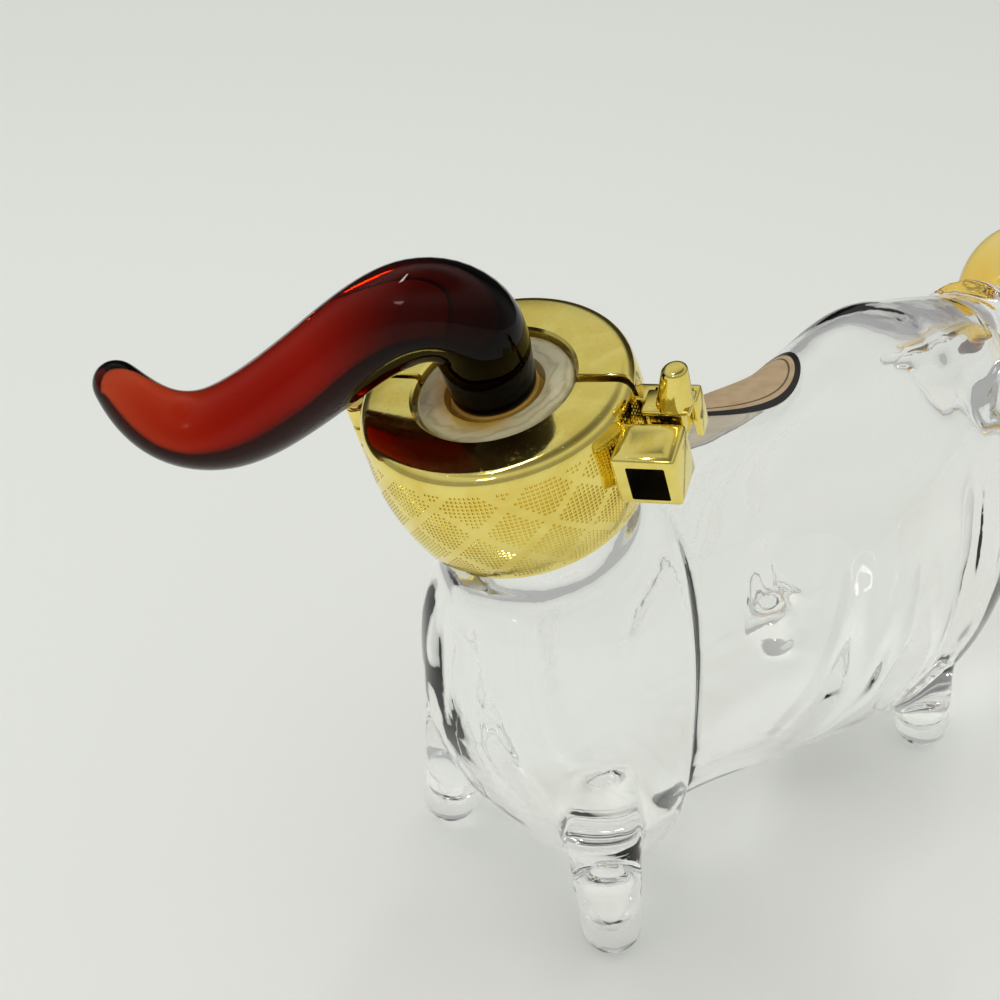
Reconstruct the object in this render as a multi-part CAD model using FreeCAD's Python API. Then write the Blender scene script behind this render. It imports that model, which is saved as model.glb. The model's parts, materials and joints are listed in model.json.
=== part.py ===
"""Figural bull decanter: a clear glass vessel, an amber tail stopper and a hinged clamp collar."""
import math
import os

import FreeCAD, Part

# Blown body. Its length runs along X from rump to neck, and its feet stand on the table.
BODY_LENGTH = 183.0
BODY_WIDTH = 72.0
BODY_HEIGHT = 103.0
BODY_CLEARANCE = 7.0
BODY_REAR = 10.0
GLASS_WALL = 4.0
SECTION_POINTS = 16
BACK_POWER = 2.4
BELLY_POWER = 3.0
# Place along the body, half width, underside, top and narrowing of the back, as shares of the length,
# half width, height, height and half width
BODY_STATION_SHARES = (
    (0.000, 0.16, 0.50, 0.70, -0.08),
    (0.008, 0.33, 0.405, 0.745, -0.08),
    (0.027, 0.48, 0.30, 0.79, -0.08),
    (0.065, 0.65, 0.16, 0.84, -0.08),
    (0.120, 0.785, 0.05, 0.88, -0.06),
    (0.165, 0.855, 0.01, 0.90, -0.02),
    (0.198, 0.865, 0.005, 0.91, 0.03),
    (0.216, 0.848, 0.012, 0.915, 0.07),
    (0.230, 0.757, 0.042, 0.92, 0.11),
    (0.246, 0.734, 0.058, 0.92, 0.15),
    (0.290, 0.760, 0.065, 0.925, 0.22),
    (0.355, 0.808, 0.055, 0.93, 0.32),
    (0.430, 0.865, 0.035, 0.93, 0.38),
    (0.515, 0.93, 0.02, 0.925, 0.42),
    (0.560, 0.97, 0.01, 0.935, 0.42),
    (0.605, 0.99, 0.005, 0.96, 0.39),
    (0.675, 1.00, 0.00, 1.00, 0.38),
    (0.750, 0.97, 0.01, 0.98, 0.38),
    (0.825, 0.87, 0.05, 0.95, 0.36),
    (0.890, 0.74, 0.13, 0.92, 0.30),
    (0.945, 0.56, 0.25, 0.885, 0.22),
    (0.985, 0.35, 0.40, 0.845, 0.10),
    (1.000, 0.15, 0.54, 0.77, 0.00),
)

# Folds that the blower drew down both flanks: half width and rise over the skin, and the sections and points
# round each section that the skin takes to follow them
FOLD_HALF_WIDTH = 5.5
FOLD_RISE = 2.0
FOLD_POINTS = 32
BODY_SECTIONS = 96
# Place along the body, level, and part of the rise, as shares of the length and the height
FOLD_LINE_SHARES = (
    (
        (0.540, 0.70, 0.0),
        (0.526, 0.57, 0.8),
        (0.508, 0.43, 1.0),
        (0.482, 0.31, 1.0),
        (0.440, 0.215, 0.8),
        (0.385, 0.15, 0.0),
    ),
    (
        (0.634, 0.60, 0.0),
        (0.641, 0.45, 0.9),
        (0.622, 0.31, 1.0),
        (0.575, 0.21, 0.8),
        (0.510, 0.14, 0.0),
    ),
    (
        (0.752, 0.72, 0.0),
        (0.752, 0.56, 0.9),
        (0.738, 0.41, 1.0),
        (0.706, 0.29, 0.7),
        (0.655, 0.20, 0.0),
    ),
)

# Legs: solid glass, splayed a little, with a small flat ground under each foot
REAR_LEG_SHARE = 0.1093
FRONT_LEG_SHARE = 0.6967
STANCE_SHARE = 0.7639
LEG_SPLAY = 7.0
LEG_TOP_HEIGHT = 46.0
LEG_TOP_RADIUS = 9.2
FOOT_RADIUS = 6.8
FOOT_FLAT = 0.8

# Head: one solid gather of glass, lowered in front of the chest
HEAD_ROOT_SHARES = (0.8743, 0.8155)
HEAD_PITCH_DEG = 32.0
HEAD_LENGTH = 68.0
HEAD_WIDTH = 36.0
HEAD_DEPTH = 36.0
HEAD_POWERS = (2.0, 2.0)
# Place along the head, half width and half depth, as shares of length, half width and half depth
HEAD_STATION_SHARES = (
    (0.00, 0.88, 0.92),
    (0.20, 0.97, 1.00),
    (0.38, 1.00, 0.99),
    (0.55, 0.84, 0.82),
    (0.70, 0.70, 0.68),
    (0.82, 0.72, 0.67),
    (0.91, 0.64, 0.58),
    (0.97, 0.43, 0.40),
    (1.00, 0.20, 0.18),
)

# Horns, ears and eyes, placed along, aside and above the head's axis as shares of its length and half sizes
HORN_ROOT_SHARES = (0.3539, 0.4444, 0.3768)
HORN_RUN = (27.0, 14.0, 15.0)
HORN_ROOT_RADIUS = 7.0
HORN_TIP_RADIUS = 2.4
# Share of the run reached in X, Y and Z, and share of the way from root to tip radius
HORN_STATION_SHARES = (
    (0.00, 0.00, 0.00, 0.00),
    (0.13, 0.32, 0.34, 0.10),
    (0.32, 0.62, 0.63, 0.30),
    (0.62, 0.88, 0.87, 0.62),
    (1.00, 1.00, 1.00, 1.00),
)
EAR_CENTRE_SHARES = (0.2728, 1.2222, -0.0767)
EAR_HALF_LENGTH = 12.0
EAR_RADIUS = 5.0
EAR_DROOP_DEG = 20.0
EAR_SWEEP_DEG = 25.0
EYE_CENTRE_SHARES = (0.48, 0.86, 0.3611)
EYE_RADIUS = 3.4

# Oval label laid over the upper left of the back
LABEL_LENGTH = 46.0
LABEL_HEIGHT = 32.0
LABEL_THICKNESS = 0.35
LABEL_GLUE = 0.06
LABEL_ALONG_SHARE = 0.4536
LABEL_LEVEL_SHARE = 0.8058
LABEL_SIDE = 7.0
LABEL_REACH = 40.0
LABEL_LEAN_DEG = 18.0

# Neck finish, with depths measured down its axis from the top face of the collar
NECK_SEAT_SHARE = 0.88
NECK_ROOT_SHARE = 0.7295
MOUTH_RISE = 31.86
NECK_TILT_DEG = 18.7
PARTING_TURN_DEG = -60.0
TAIL_TURN_DEG = 138.0
BORE_RADIUS = 9.3
BORE_CHAMFER = 0.8
LIP_RADIUS = 15.2
LIP_ROUND = 1.0
BEAD_RADIUS = 18.5
WAIST_RADIUS = 15.0
FLARE_RADIUS = 20.5
ROOT_RADIUS = 17.0
LIP_DEPTH = 0.8
LIP_FOOT_DEPTH = 3.4
BEAD_TOP_DEPTH = 4.6
BEAD_FOOT_DEPTH = 9.6
WAIST_TOP_DEPTH = 12.2
WAIST_FOOT_DEPTH = 23.5
FLARE_DEPTH = 31.0

# Clamp collar in two halves
COLLAR_RADIUS = 26.6
COLLAR_FOOT_RADIUS = 23.5
COLLAR_HEIGHT = 28.4
COLLAR_BULGE = 1.8
COLLAR_WALL = 1.8
COLLAR_EDGE_ROUND = 2.6
COLLAR_OPENING_RADIUS = 15.8
PARTING_GAP = 0.8
PARTING_SET = 1.2
LINER_TOP_DEPTH = 13.2
LINER_FOOT_DEPTH = 22.8
LINER_CLEARANCE = 0.35

# Hinge of the collar: three knuckles on one pin
HINGE_OUT = 29.0
HINGE_BACK = 2.5
KNUCKLE_RADIUS = 2.2
KNUCKLE_CLEARANCE = 0.4
HINGE_PIN_RADIUS = 1.0
HINGE_RUNNING = 0.05
HINGE_TOP_DEPTH = 4.0
KNUCKLE_LENGTH = 4.4
KNUCKLE_GAP = 0.4
HINGE_WEB = 1.9
HINGE_RISE_WIDTH = 2.8
HINGE_PIN_HEAD = 0.6

# Latch box on the rear half
BOX_IN = 25.2
BOX_OUT = 37.4
BOX_NEAR = 4.2
BOX_FAR = 14.4
BOX_TOP_DEPTH = 5.0
BOX_FOOT_DEPTH = 16.0
BOX_WINDOW_OUT = 35.4
BOX_WINDOW_IN = 28.2
BOX_WINDOW_TOP_DEPTH = 6.8
BOX_WINDOW_FOOT_DEPTH = 14.6
BOX_SILL = 1.6
BOX_SILL_DEPTH = 8.2

# Latch lug on the front half, and the lever that turns in it
LUG_OUT = 37.8
LUG_NEAR = 1.6
LUG_FAR = 6.4
LUG_TOP_DEPTH = 5.0
LUG_FOOT_DEPTH = 14.0
SLOT_IN = 29.4
SLOT_OUT = 36.6
SLOT_FAR = 5.1
PIVOT_BACK = 3.0
PIVOT_DEPTH = 9.5
PIVOT_RADIUS = 0.9
PIVOT_RUNNING = 0.05
PIVOT_INNER_END = 27.6
LEVER_SIDE_PLAY = 0.3
LEVER_HUB_RADIUS = 1.9
LEVER_BLOCK_NEAR = 2.4
LEVER_BLOCK_FAR = 3.4
LEVER_BLOCK_TOP_DEPTH = 4.4
TONGUE_IN = 30.0
TONGUE_OUT = 33.6
TONGUE_REACH = 8.8
TONGUE_TOP_DEPTH = 9.7
TONGUE_THICKNESS = 1.6
TOOTH_START = 6.4
TOOTH_TOP_DEPTH = 8.6
PEG_OUT = 35.0
PEG_NEAR = 0.2
PEG_ROOT_RADIUS = 2.7
PEG_TIP_RADIUS = 1.5
PEG_RISE = 3.0

# Tail stopper: a curved amber rod, its shank and the ribbed sleeve that seals the bore
TAIL_RADIUS = 9.0
TAIL_REACH = 68.0
TAIL_RISE = 20.0
SHOULDER_DEPTH = 1.4
SHANK_RADIUS = 7.6
SHANK_DEPTH = 19.4
BUTTON_RADIUS = 8.2
BUTTON_HEIGHT = 1.0
SLEEVE_RUNNING = 0.05
SLEEVE_RADIUS = 8.5
SLEEVE_RIB_RADIUS = 9.2
SLEEVE_END_PLAY = 0.1
SLEEVE_RIB_COUNT = 4
SLEEVE_RIB_FILL_SHARE = 0.45
# Reach and rise of the rod's middle line, the rod's radius and its stretch in the bend, as shares
TAIL_STATION_SHARES = (
    (0.000, -0.07, 0.93, 1.00),
    (0.000, 0.15, 0.94, 1.00),
    (-0.006, 0.42, 0.98, 1.02),
    (0.004, 0.73, 1.02, 1.08),
    (0.061, 0.93, 1.03, 1.08),
    (0.141, 0.99, 1.04, 1.05),
    (0.207, 0.945, 1.03, 1.03),
    (0.304, 0.82, 1.01, 1.00),
    (0.422, 0.59, 1.00, 1.00),
    (0.537, 0.38, 0.99, 1.00),
    (0.654, 0.19, 0.98, 1.00),
    (0.754, 0.09, 0.95, 1.00),
    (0.838, 0.095, 0.88, 1.00),
    (0.906, 0.195, 0.81, 1.00),
    (0.953, 0.365, 0.73, 1.00),
    (0.984, 0.60, 0.63, 1.00),
    (1.000, 0.825, 0.53, 1.00),
)

ORIGIN = FreeCAD.Vector(0.0, 0.0, 0.0)
AXIS_X = FreeCAD.Vector(1.0, 0.0, 0.0)
AXIS_Y = FreeCAD.Vector(0.0, 1.0, 0.0)
AXIS_Z = FreeCAD.Vector(0.0, 0.0, 1.0)
FULL_TURN = 360.0
QUARTER_TURN = 90.0
ROD_END_TURNS_DEG = (25.0, 48.0, 68.0, 82.0)
SEAM_TOLERANCE = 0.0001


def closed_curve(points):
    """Return a smooth closed wire through the points."""
    curve = Part.BSplineCurve()
    curve.interpolate(points, PeriodicFlag=True)
    return Part.Wire([curve.toShape()])


def round_section(half_width, half_height, powers, narrowing, count):
    """Return the outline of a rounded section as count pairs across and up, from its middle."""
    pairs = []
    for index in range(count):
        turn = math.tau * index / count
        cosine = math.cos(turn)
        sine = math.sin(turn)
        power = powers[0] if sine > 0.0 else powers[1]
        across = math.copysign(abs(cosine) ** (2.0 / power), cosine)
        up = math.copysign(abs(sine) ** (2.0 / power), sine)
        level = (1.0 + up) / 2.0
        pairs.append((half_width * across * (1.0 - narrowing * level ** 2), half_height * up))
    return pairs


def body_x(share):
    """Return the place along X of a share of the body's length."""
    return share * BODY_LENGTH - BODY_REAR


def body_level(share):
    """Return the height of a share of the body's height."""
    return BODY_CLEARANCE + share * BODY_HEIGHT


def mouth_height():
    """Return the height of the collar's top face on the neck's axis."""
    return body_level(NECK_SEAT_SHARE) + MOUTH_RISE


def root_depth():
    """Return the depth down the neck's axis at which the neck ends inside the body."""
    drop = mouth_height() - body_level(NECK_ROOT_SHARE)
    return drop / math.cos(math.radians(NECK_TILT_DEG))


def station_at(along):
    """Return the body's station on a smooth run through the table, at a share of the length."""
    last_index = len(BODY_STATION_SHARES) - 1
    index = max(i for i in range(last_index) if BODY_STATION_SHARES[i][0] <= along)
    before = BODY_STATION_SHARES[max(index - 1, 0)]
    first = BODY_STATION_SHARES[index]
    second = BODY_STATION_SHARES[index + 1]
    after = BODY_STATION_SHARES[min(index + 2, last_index)]
    span = second[0] - first[0]
    part = (along - first[0]) / span
    values = [along]
    for a, b, c, d in list(zip(before, first, second, after))[1:]:
        leave = span * (c - a) / (second[0] - before[0])
        reach = span * (d - b) / (after[0] - first[0])
        bend = 3.0 * (c - b) - 2.0 * leave - reach
        turn = 2.0 * (b - c) + leave + reach
        values.append(b + part * (leave + part * (bend + part * turn)))
    return tuple(values)


def graded_shares():
    """Return places along the body that stand closer towards its rounded ends."""
    return [(1.0 - math.cos(math.pi * index / BODY_SECTIONS)) / 2.0 for index in range(BODY_SECTIONS + 1)]


def fold_rise(x_place, z_place):
    """Return how far the folds lift the skin of a flank at a place seen from the side."""
    place = FreeCAD.Vector(x_place, 0.0, z_place)
    rise = 0.0
    for line in FOLD_LINE_SHARES:
        corners = [FreeCAD.Vector(body_x(along), 0.0, body_level(level)) for along, level, part in line]
        nearest = None
        for index in range(len(line) - 1):
            run = corners[index + 1] - corners[index]
            share = (place - corners[index]).dot(run) / run.dot(run)
            share = min(max(share, 0.0), 1.0)
            away = (place - corners[index] - run * share).Length
            part = line[index][2] + share * (line[index + 1][2] - line[index][2])
            if nearest is None or away < nearest[0]:
                nearest = (away, part)
        rise += FOLD_RISE * nearest[1] * math.exp(-((nearest[0] / FOLD_HALF_WIDTH) ** 2))
    return rise


def section_points(station, growth, folded, count):
    """Return the points round one section of the body, its flanks folded or plain."""
    along, wide, low, high, narrowing = station
    stretch = (BODY_LENGTH + 2.0 * growth) / BODY_LENGTH
    x_place = (along - 0.5) * BODY_LENGTH * stretch + BODY_LENGTH / 2.0 - BODY_REAR
    half_width = wide * BODY_WIDTH / 2.0 + growth
    bottom = body_level(low) - growth
    top = body_level(high) + growth
    centre = (bottom + top) / 2.0
    powers = (BACK_POWER, BELLY_POWER)
    points = []
    for y, z in round_section(half_width, (top - bottom) / 2.0, powers, narrowing, count):
        lift = fold_rise(x_place, centre + z) * y / half_width if folded else 0.0
        points.append(FreeCAD.Vector(x_place, y + lift, centre + z))
    return points


def body_form(growth, folded):
    """Return the body's form moved outwards by growth, as one skin that closes round it and two end caps."""
    turns = [index / FOLD_POINTS for index in range(FOLD_POINTS + 1)]
    rings = []
    for along in graded_shares():
        station = station_at(along)
        if station[1] * BODY_WIDTH / 2.0 + growth < GLASS_WALL:
            continue
        ring = Part.BSplineCurve()
        points = section_points(station, growth, folded, FOLD_POINTS)
        ring.interpolate(Points=points, PeriodicFlag=True, Parameters=turns)
        rings.append(ring)
    runs = []
    for poles in zip(*[ring.getPoles() for ring in rings]):
        run = Part.BSplineCurve()
        run.interpolate(Points=list(poles), Parameters=list(range(len(rings))))
        runs.append(run)
    skin = Part.BSplineSurface()
    skin.buildFromPolesMultsKnots(
        [list(row) for row in zip(*[run.getPoles() for run in runs])],
        runs[0].getMultiplicities(),
        rings[0].getMultiplicities(),
        runs[0].getKnots(),
        rings[0].getKnots(),
        False,
        True,
        runs[0].Degree,
        rings[0].Degree,
    )
    face = skin.toShape()
    caps = [Part.Face(Part.Wire([edge])) for edge in face.Edges if edge.isClosed()]
    body = Part.makeSolid(Part.makeShell([face] + caps))
    body.fix(SEAM_TOLERANCE, SEAM_TOLERANCE, SEAM_TOLERANCE)
    return body


def neck_placement(turn_deg):
    """Return the placement of a shape drawn upright on the neck's axis, turned about that axis."""
    lean = FreeCAD.Rotation(AXIS_Y, -NECK_TILT_DEG)
    turn = FreeCAD.Rotation(AXIS_Z, turn_deg)
    return FreeCAD.Placement(FreeCAD.Vector(0.0, 0.0, mouth_height()), lean.multiply(turn))


def on_neck(shape, turn_deg):
    """Return a copy of the shape moved from the upright drawing frame to the leaning neck."""
    moved = shape.copy()
    moved.Placement = neck_placement(turn_deg).multiply(moved.Placement)
    return moved


def turned_solid(points):
    """Return the solid turned about Z from pairs of radius and height."""
    corners = [FreeCAD.Vector(radius, 0.0, height) for radius, height in points]
    wire = Part.makePolygon(corners + corners[:1])
    return Part.Face(wire).revolve(ORIGIN, AXIS_Z, FULL_TURN)


def block(low, high):
    """Return a box between two corners."""
    size = [b - a for a, b in zip(low, high)]
    return Part.makeBox(size[0], size[1], size[2], FreeCAD.Vector(*low))


def make_neck():
    """Return the neck finish as a turned tube, before it is trimmed to the body."""
    points = (
        (BORE_RADIUS, -root_depth()),
        (FLARE_RADIUS, -root_depth()),
        (FLARE_RADIUS, -FLARE_DEPTH),
        ((FLARE_RADIUS + WAIST_RADIUS) / 2.0, -(FLARE_DEPTH + WAIST_FOOT_DEPTH) / 2.0 - LIP_ROUND),
        (WAIST_RADIUS, -WAIST_FOOT_DEPTH),
        (WAIST_RADIUS, -WAIST_TOP_DEPTH),
        (BEAD_RADIUS, -BEAD_FOOT_DEPTH),
        (BEAD_RADIUS, -BEAD_TOP_DEPTH - LIP_ROUND),
        (BEAD_RADIUS - LIP_ROUND, -BEAD_TOP_DEPTH),
        (LIP_RADIUS, -LIP_FOOT_DEPTH),
        (LIP_RADIUS, -LIP_DEPTH - LIP_ROUND),
        (LIP_RADIUS - LIP_ROUND, -LIP_DEPTH),
        (BORE_RADIUS + BORE_CHAMFER, -LIP_DEPTH),
        (BORE_RADIUS, -LIP_DEPTH - BORE_CHAMFER),
    )
    return on_neck(turned_solid(points), PARTING_TURN_DEG)


def make_leg(x_place, side, body):
    """Return one leg, cut where it meets the body and ground flat under its foot."""
    half_stance = STANCE_SHARE * BODY_WIDTH / 2.0
    foot = FreeCAD.Vector(x_place, side * half_stance, FOOT_RADIUS - FOOT_FLAT)
    top = FreeCAD.Vector(x_place, side * (half_stance - LEG_SPLAY), LEG_TOP_HEIGHT)
    axis = top.sub(foot)
    shaft = Part.makeCone(FOOT_RADIUS, LEG_TOP_RADIUS, axis.Length, foot, axis)
    leg = shaft.fuse(Part.makeSphere(FOOT_RADIUS, foot)).removeSplitter()
    reach = 2.0 * FOOT_RADIUS
    below = block((x_place - reach, foot.y - reach, -reach), (x_place + reach, foot.y + reach, 0.0))
    return leg.cut(below).cut(body)


def head_point(along, side, rise):
    """Return a point in the head's own frame, along its pitched axis, aside and above it."""
    pitch = math.radians(HEAD_PITCH_DEG)
    x_place = body_x(HEAD_ROOT_SHARES[0]) + along * math.cos(pitch) + rise * math.sin(pitch)
    z_place = body_level(HEAD_ROOT_SHARES[1]) - along * math.sin(pitch) + rise * math.cos(pitch)
    return FreeCAD.Vector(x_place, side, z_place)


def place_on_head(shares, side):
    """Return a point at shares of the head's length, half width and half depth, on one side."""
    aside = side * shares[1] * HEAD_WIDTH / 2.0
    return head_point(shares[0] * HEAD_LENGTH, aside, shares[2] * HEAD_DEPTH / 2.0)


def make_head():
    """Return the whole head form, before the body is cut from it."""
    wires = []
    for along, wide, deep in HEAD_STATION_SHARES:
        pairs = round_section(wide * HEAD_WIDTH / 2.0, deep * HEAD_DEPTH / 2.0, HEAD_POWERS, 0.0, SECTION_POINTS)
        wires.append(closed_curve([head_point(along * HEAD_LENGTH, y, z) for y, z in pairs]))
    return Part.makeLoft(wires, True, False)


def rod_through(places, radii, stretches, aside, start):
    """Return a smooth round-ended rod through the places, stretched square to aside."""
    path = Part.BSplineCurve()
    path.interpolate(places)
    tangents = [path.tangent(path.parameter(place))[0] for place in places]
    tangents[0] = start
    stations = list(zip(places, radii, stretches, tangents))
    for turn_deg in ROD_END_TURNS_DEG:
        turn = math.radians(turn_deg)
        tip = places[-1] + tangents[-1] * (radii[-1] * math.sin(turn))
        stations.append((tip, radii[-1] * math.cos(turn), stretches[-1], tangents[-1]))
    wires = []
    for place, radius, stretch, tangent in stations:
        outward = aside.cross(tangent).normalize()
        side = tangent.cross(outward).normalize()
        ring = []
        for index in range(SECTION_POINTS):
            turn = math.tau * index / SECTION_POINTS
            reach = outward * (radius * stretch * math.cos(turn))
            ring.append(place + reach + side * (radius * math.sin(turn)))
        wires.append(closed_curve(ring))
    return Part.makeLoft(wires, True, False)


def make_horn(side):
    """Return one curved horn, before the head is cut from it."""
    root = place_on_head(HORN_ROOT_SHARES, side)
    places = []
    radii = []
    for run_x, run_y, run_z, slim in HORN_STATION_SHARES:
        run = FreeCAD.Vector(run_x * HORN_RUN[0], side * run_y * HORN_RUN[1], run_z * HORN_RUN[2])
        places.append(root + run)
        radii.append(HORN_ROOT_RADIUS + slim * (HORN_TIP_RADIUS - HORN_ROOT_RADIUS))
    start = (places[1] - places[0]).normalize()
    return rod_through(places, radii, [1.0] * len(places), AXIS_X, start)


def make_ear(side):
    """Return one drooping ear as a long rounded drop, before the head is cut from it."""
    outline = Part.Ellipse(ORIGIN, EAR_HALF_LENGTH, EAR_RADIUS)
    arc = outline.toShape(0.0, math.pi)
    chord = Part.makeLine(arc.Vertexes[-1].Point, arc.Vertexes[0].Point)
    drop = Part.Face(Part.Wire([arc, chord])).revolve(ORIGIN, AXIS_X, FULL_TURN)
    sweep = FreeCAD.Rotation(AXIS_Z, side * (QUARTER_TURN + EAR_SWEEP_DEG))
    droop = FreeCAD.Rotation(AXIS_Y, EAR_DROOP_DEG)
    drop.Placement = FreeCAD.Placement(place_on_head(EAR_CENTRE_SHARES, side), sweep.multiply(droop))
    return drop


def make_label(body):
    """Return the thin oval label that follows the back."""
    oval = Part.Ellipse(ORIGIN, LABEL_LENGTH / 2.0, LABEL_HEIGHT / 2.0)
    face = Part.Face(Part.Wire([oval.toShape()]))
    prism = face.extrude(FreeCAD.Vector(0.0, 0.0, LABEL_REACH))
    lean = FreeCAD.Rotation(AXIS_X, -LABEL_LEAN_DEG)
    foot = FreeCAD.Vector(body_x(LABEL_ALONG_SHARE), LABEL_SIDE, body_level(LABEL_LEVEL_SHARE))
    prism.Placement = FreeCAD.Placement(foot, lean)
    skin = max(body.Faces, key=lambda candidate: candidate.Area)
    patch = skin.common(prism).Faces[0]
    outward = lean.multVec(AXIS_Z)
    patch.translate(outward * LABEL_GLUE)
    return patch.extrude(outward * LABEL_THICKNESS)


def wall_arc(inset):
    """Return the collar wall's profile from under the top edge to the foot, moved inwards by inset."""
    top = FreeCAD.Vector(COLLAR_RADIUS - inset, 0.0, -COLLAR_EDGE_ROUND)
    foot = FreeCAD.Vector(COLLAR_FOOT_RADIUS - inset, 0.0, -COLLAR_HEIGHT)
    middle = (top + foot) * 0.5 + AXIS_X * COLLAR_BULGE
    return top, foot, Part.Arc(top, middle, foot).toShape()


def make_collar_ring():
    """Return the whole collar ring with its round top edge and bulged wall."""
    top, foot, wall = wall_arc(0.0)
    inner_top, inner_foot, inner_wall = wall_arc(COLLAR_WALL)
    flat_end = FreeCAD.Vector(COLLAR_RADIUS - COLLAR_EDGE_ROUND, 0.0, 0.0)
    bow = COLLAR_EDGE_ROUND * (1.0 - math.sqrt(0.5))
    bend = FreeCAD.Vector(COLLAR_RADIUS - bow, 0.0, -bow)
    rim = FreeCAD.Vector(COLLAR_OPENING_RADIUS, 0.0, 0.0)
    under = FreeCAD.Vector(COLLAR_OPENING_RADIUS, 0.0, -COLLAR_EDGE_ROUND)
    edges = [
        Part.makeLine(rim, flat_end),
        Part.Arc(flat_end, bend, top).toShape(),
        wall,
        Part.makeLine(foot, inner_foot),
        inner_wall,
        Part.makeLine(inner_top, under),
        Part.makeLine(under, rim),
    ]
    return Part.Face(Part.Wire(edges)).revolve(ORIGIN, AXIS_Z, FULL_TURN)


def collar_hollow():
    """Return the space inside the collar's wall, which nothing of the collar may fill."""
    top, foot, wall = wall_arc(COLLAR_WALL)
    top_middle = FreeCAD.Vector(0.0, 0.0, -COLLAR_EDGE_ROUND)
    foot_middle = FreeCAD.Vector(0.0, 0.0, -COLLAR_HEIGHT)
    edges = [
        Part.makeLine(top_middle, top),
        wall,
        Part.makeLine(foot, foot_middle),
        Part.makeLine(foot_middle, top_middle),
    ]
    return Part.Face(Part.Wire(edges)).revolve(ORIGIN, AXIS_Z, FULL_TURN)


def half_space(side):
    """Return the space on one side of the collar's parting gap."""
    reach = 2.0 * COLLAR_RADIUS
    edge = PARTING_SET + side * PARTING_GAP / 2.0
    return block((-reach, min(edge, side * reach), -reach), (reach, max(edge, side * reach), reach))


def make_liner(side, clearance, hollow):
    """Return one soft liner between the glass waist and the collar's wall."""
    ring = turned_solid((
        (WAIST_RADIUS + clearance, -LINER_FOOT_DEPTH),
        (COLLAR_RADIUS + COLLAR_BULGE, -LINER_FOOT_DEPTH),
        (COLLAR_RADIUS + COLLAR_BULGE, -LINER_TOP_DEPTH),
        (WAIST_RADIUS + clearance, -LINER_TOP_DEPTH),
    ))
    return ring.common(hollow).common(half_space(side))


def knuckle(index, hole_radius):
    """Return one hinge knuckle, counted from the top, with its hole."""
    foot = -HINGE_TOP_DEPTH - (index + 1) * KNUCKLE_LENGTH - index * KNUCKLE_GAP
    base = FreeCAD.Vector(-HINGE_OUT, -HINGE_BACK, foot)
    barrel = Part.makeCylinder(KNUCKLE_RADIUS, KNUCKLE_LENGTH, base)
    return barrel, Part.makeCylinder(hole_radius, KNUCKLE_LENGTH, base), foot


def make_rear_half(ring, hollow):
    """Return the rear half with its two outer knuckles and its latch box."""
    edge = PARTING_SET - PARTING_GAP / 2.0
    half = ring.common(half_space(-1))
    box = block((BOX_IN, -BOX_FAR, -BOX_FOOT_DEPTH), (BOX_OUT, -BOX_NEAR, -BOX_TOP_DEPTH))
    half = half.fuse(box.cut(hollow))
    for index in (0, 2):
        barrel, hole, foot = knuckle(index, HINGE_PIN_RADIUS)
        web = block(
            (-HINGE_OUT, -HINGE_BACK - HINGE_WEB, foot),
            (-COLLAR_FOOT_RADIUS, edge, foot + KNUCKLE_LENGTH),
        ).cut(hollow)
        half = half.fuse(barrel).fuse(web).cut(hole)
    middle = -HINGE_TOP_DEPTH - 2.0 * (KNUCKLE_LENGTH + KNUCKLE_GAP)
    relief = Part.makeCylinder(
        KNUCKLE_RADIUS + KNUCKLE_CLEARANCE,
        KNUCKLE_LENGTH + 2.0 * KNUCKLE_GAP,
        FreeCAD.Vector(-HINGE_OUT, -HINGE_BACK, middle),
    )
    window = block(
        (BOX_WINDOW_IN, -BOX_FAR, -BOX_WINDOW_FOOT_DEPTH),
        (BOX_WINDOW_OUT, -BOX_NEAR - BOX_SILL, -BOX_WINDOW_TOP_DEPTH),
    )
    way_in = block(
        (BOX_WINDOW_IN, -BOX_NEAR - BOX_SILL, -BOX_WINDOW_FOOT_DEPTH),
        (BOX_WINDOW_OUT, -BOX_NEAR, -BOX_SILL_DEPTH),
    )
    return half.cut(relief).cut(window).cut(way_in).removeSplitter()


def make_front_half(ring, hollow):
    """Return the front half with its middle knuckle and its latch lug."""
    edge = PARTING_SET + PARTING_GAP / 2.0
    half = ring.common(half_space(1))
    lug = block((0.0, LUG_NEAR, -LUG_FOOT_DEPTH), (LUG_OUT, LUG_FAR, -LUG_TOP_DEPTH))
    slot = block((SLOT_IN, LUG_NEAR, -LUG_FOOT_DEPTH), (SLOT_OUT, SLOT_FAR, -LUG_TOP_DEPTH))
    half = half.fuse(lug.cut(hollow).cut(slot))
    barrel, hole, foot = knuckle(1, HINGE_PIN_RADIUS + HINGE_RUNNING)
    rise = block(
        (-HINGE_OUT - KNUCKLE_RADIUS, -HINGE_BACK, foot),
        (-HINGE_OUT - KNUCKLE_RADIUS + HINGE_RISE_WIDTH, edge + HINGE_WEB, foot + KNUCKLE_LENGTH),
    )
    arm = block(
        (-HINGE_OUT, edge, foot),
        (-COLLAR_FOOT_RADIUS, edge + HINGE_WEB, foot + KNUCKLE_LENGTH),
    ).cut(hollow)
    half = half.fuse(barrel).fuse(rise).fuse(arm).cut(hole)
    return half.cut(make_pivot_pin()).removeSplitter()


def make_hinge_pin():
    """Return the hinge pin with a small round head above the top knuckle."""
    length = 3.0 * KNUCKLE_LENGTH + 2.0 * KNUCKLE_GAP
    base = FreeCAD.Vector(-HINGE_OUT, -HINGE_BACK, -HINGE_TOP_DEPTH - length)
    top = FreeCAD.Vector(-HINGE_OUT, -HINGE_BACK, -HINGE_TOP_DEPTH)
    pin = Part.makeCylinder(HINGE_PIN_RADIUS, length, base)
    return pin.fuse(Part.makeCylinder(KNUCKLE_RADIUS - HINGE_PIN_HEAD, HINGE_PIN_HEAD, top))


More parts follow.
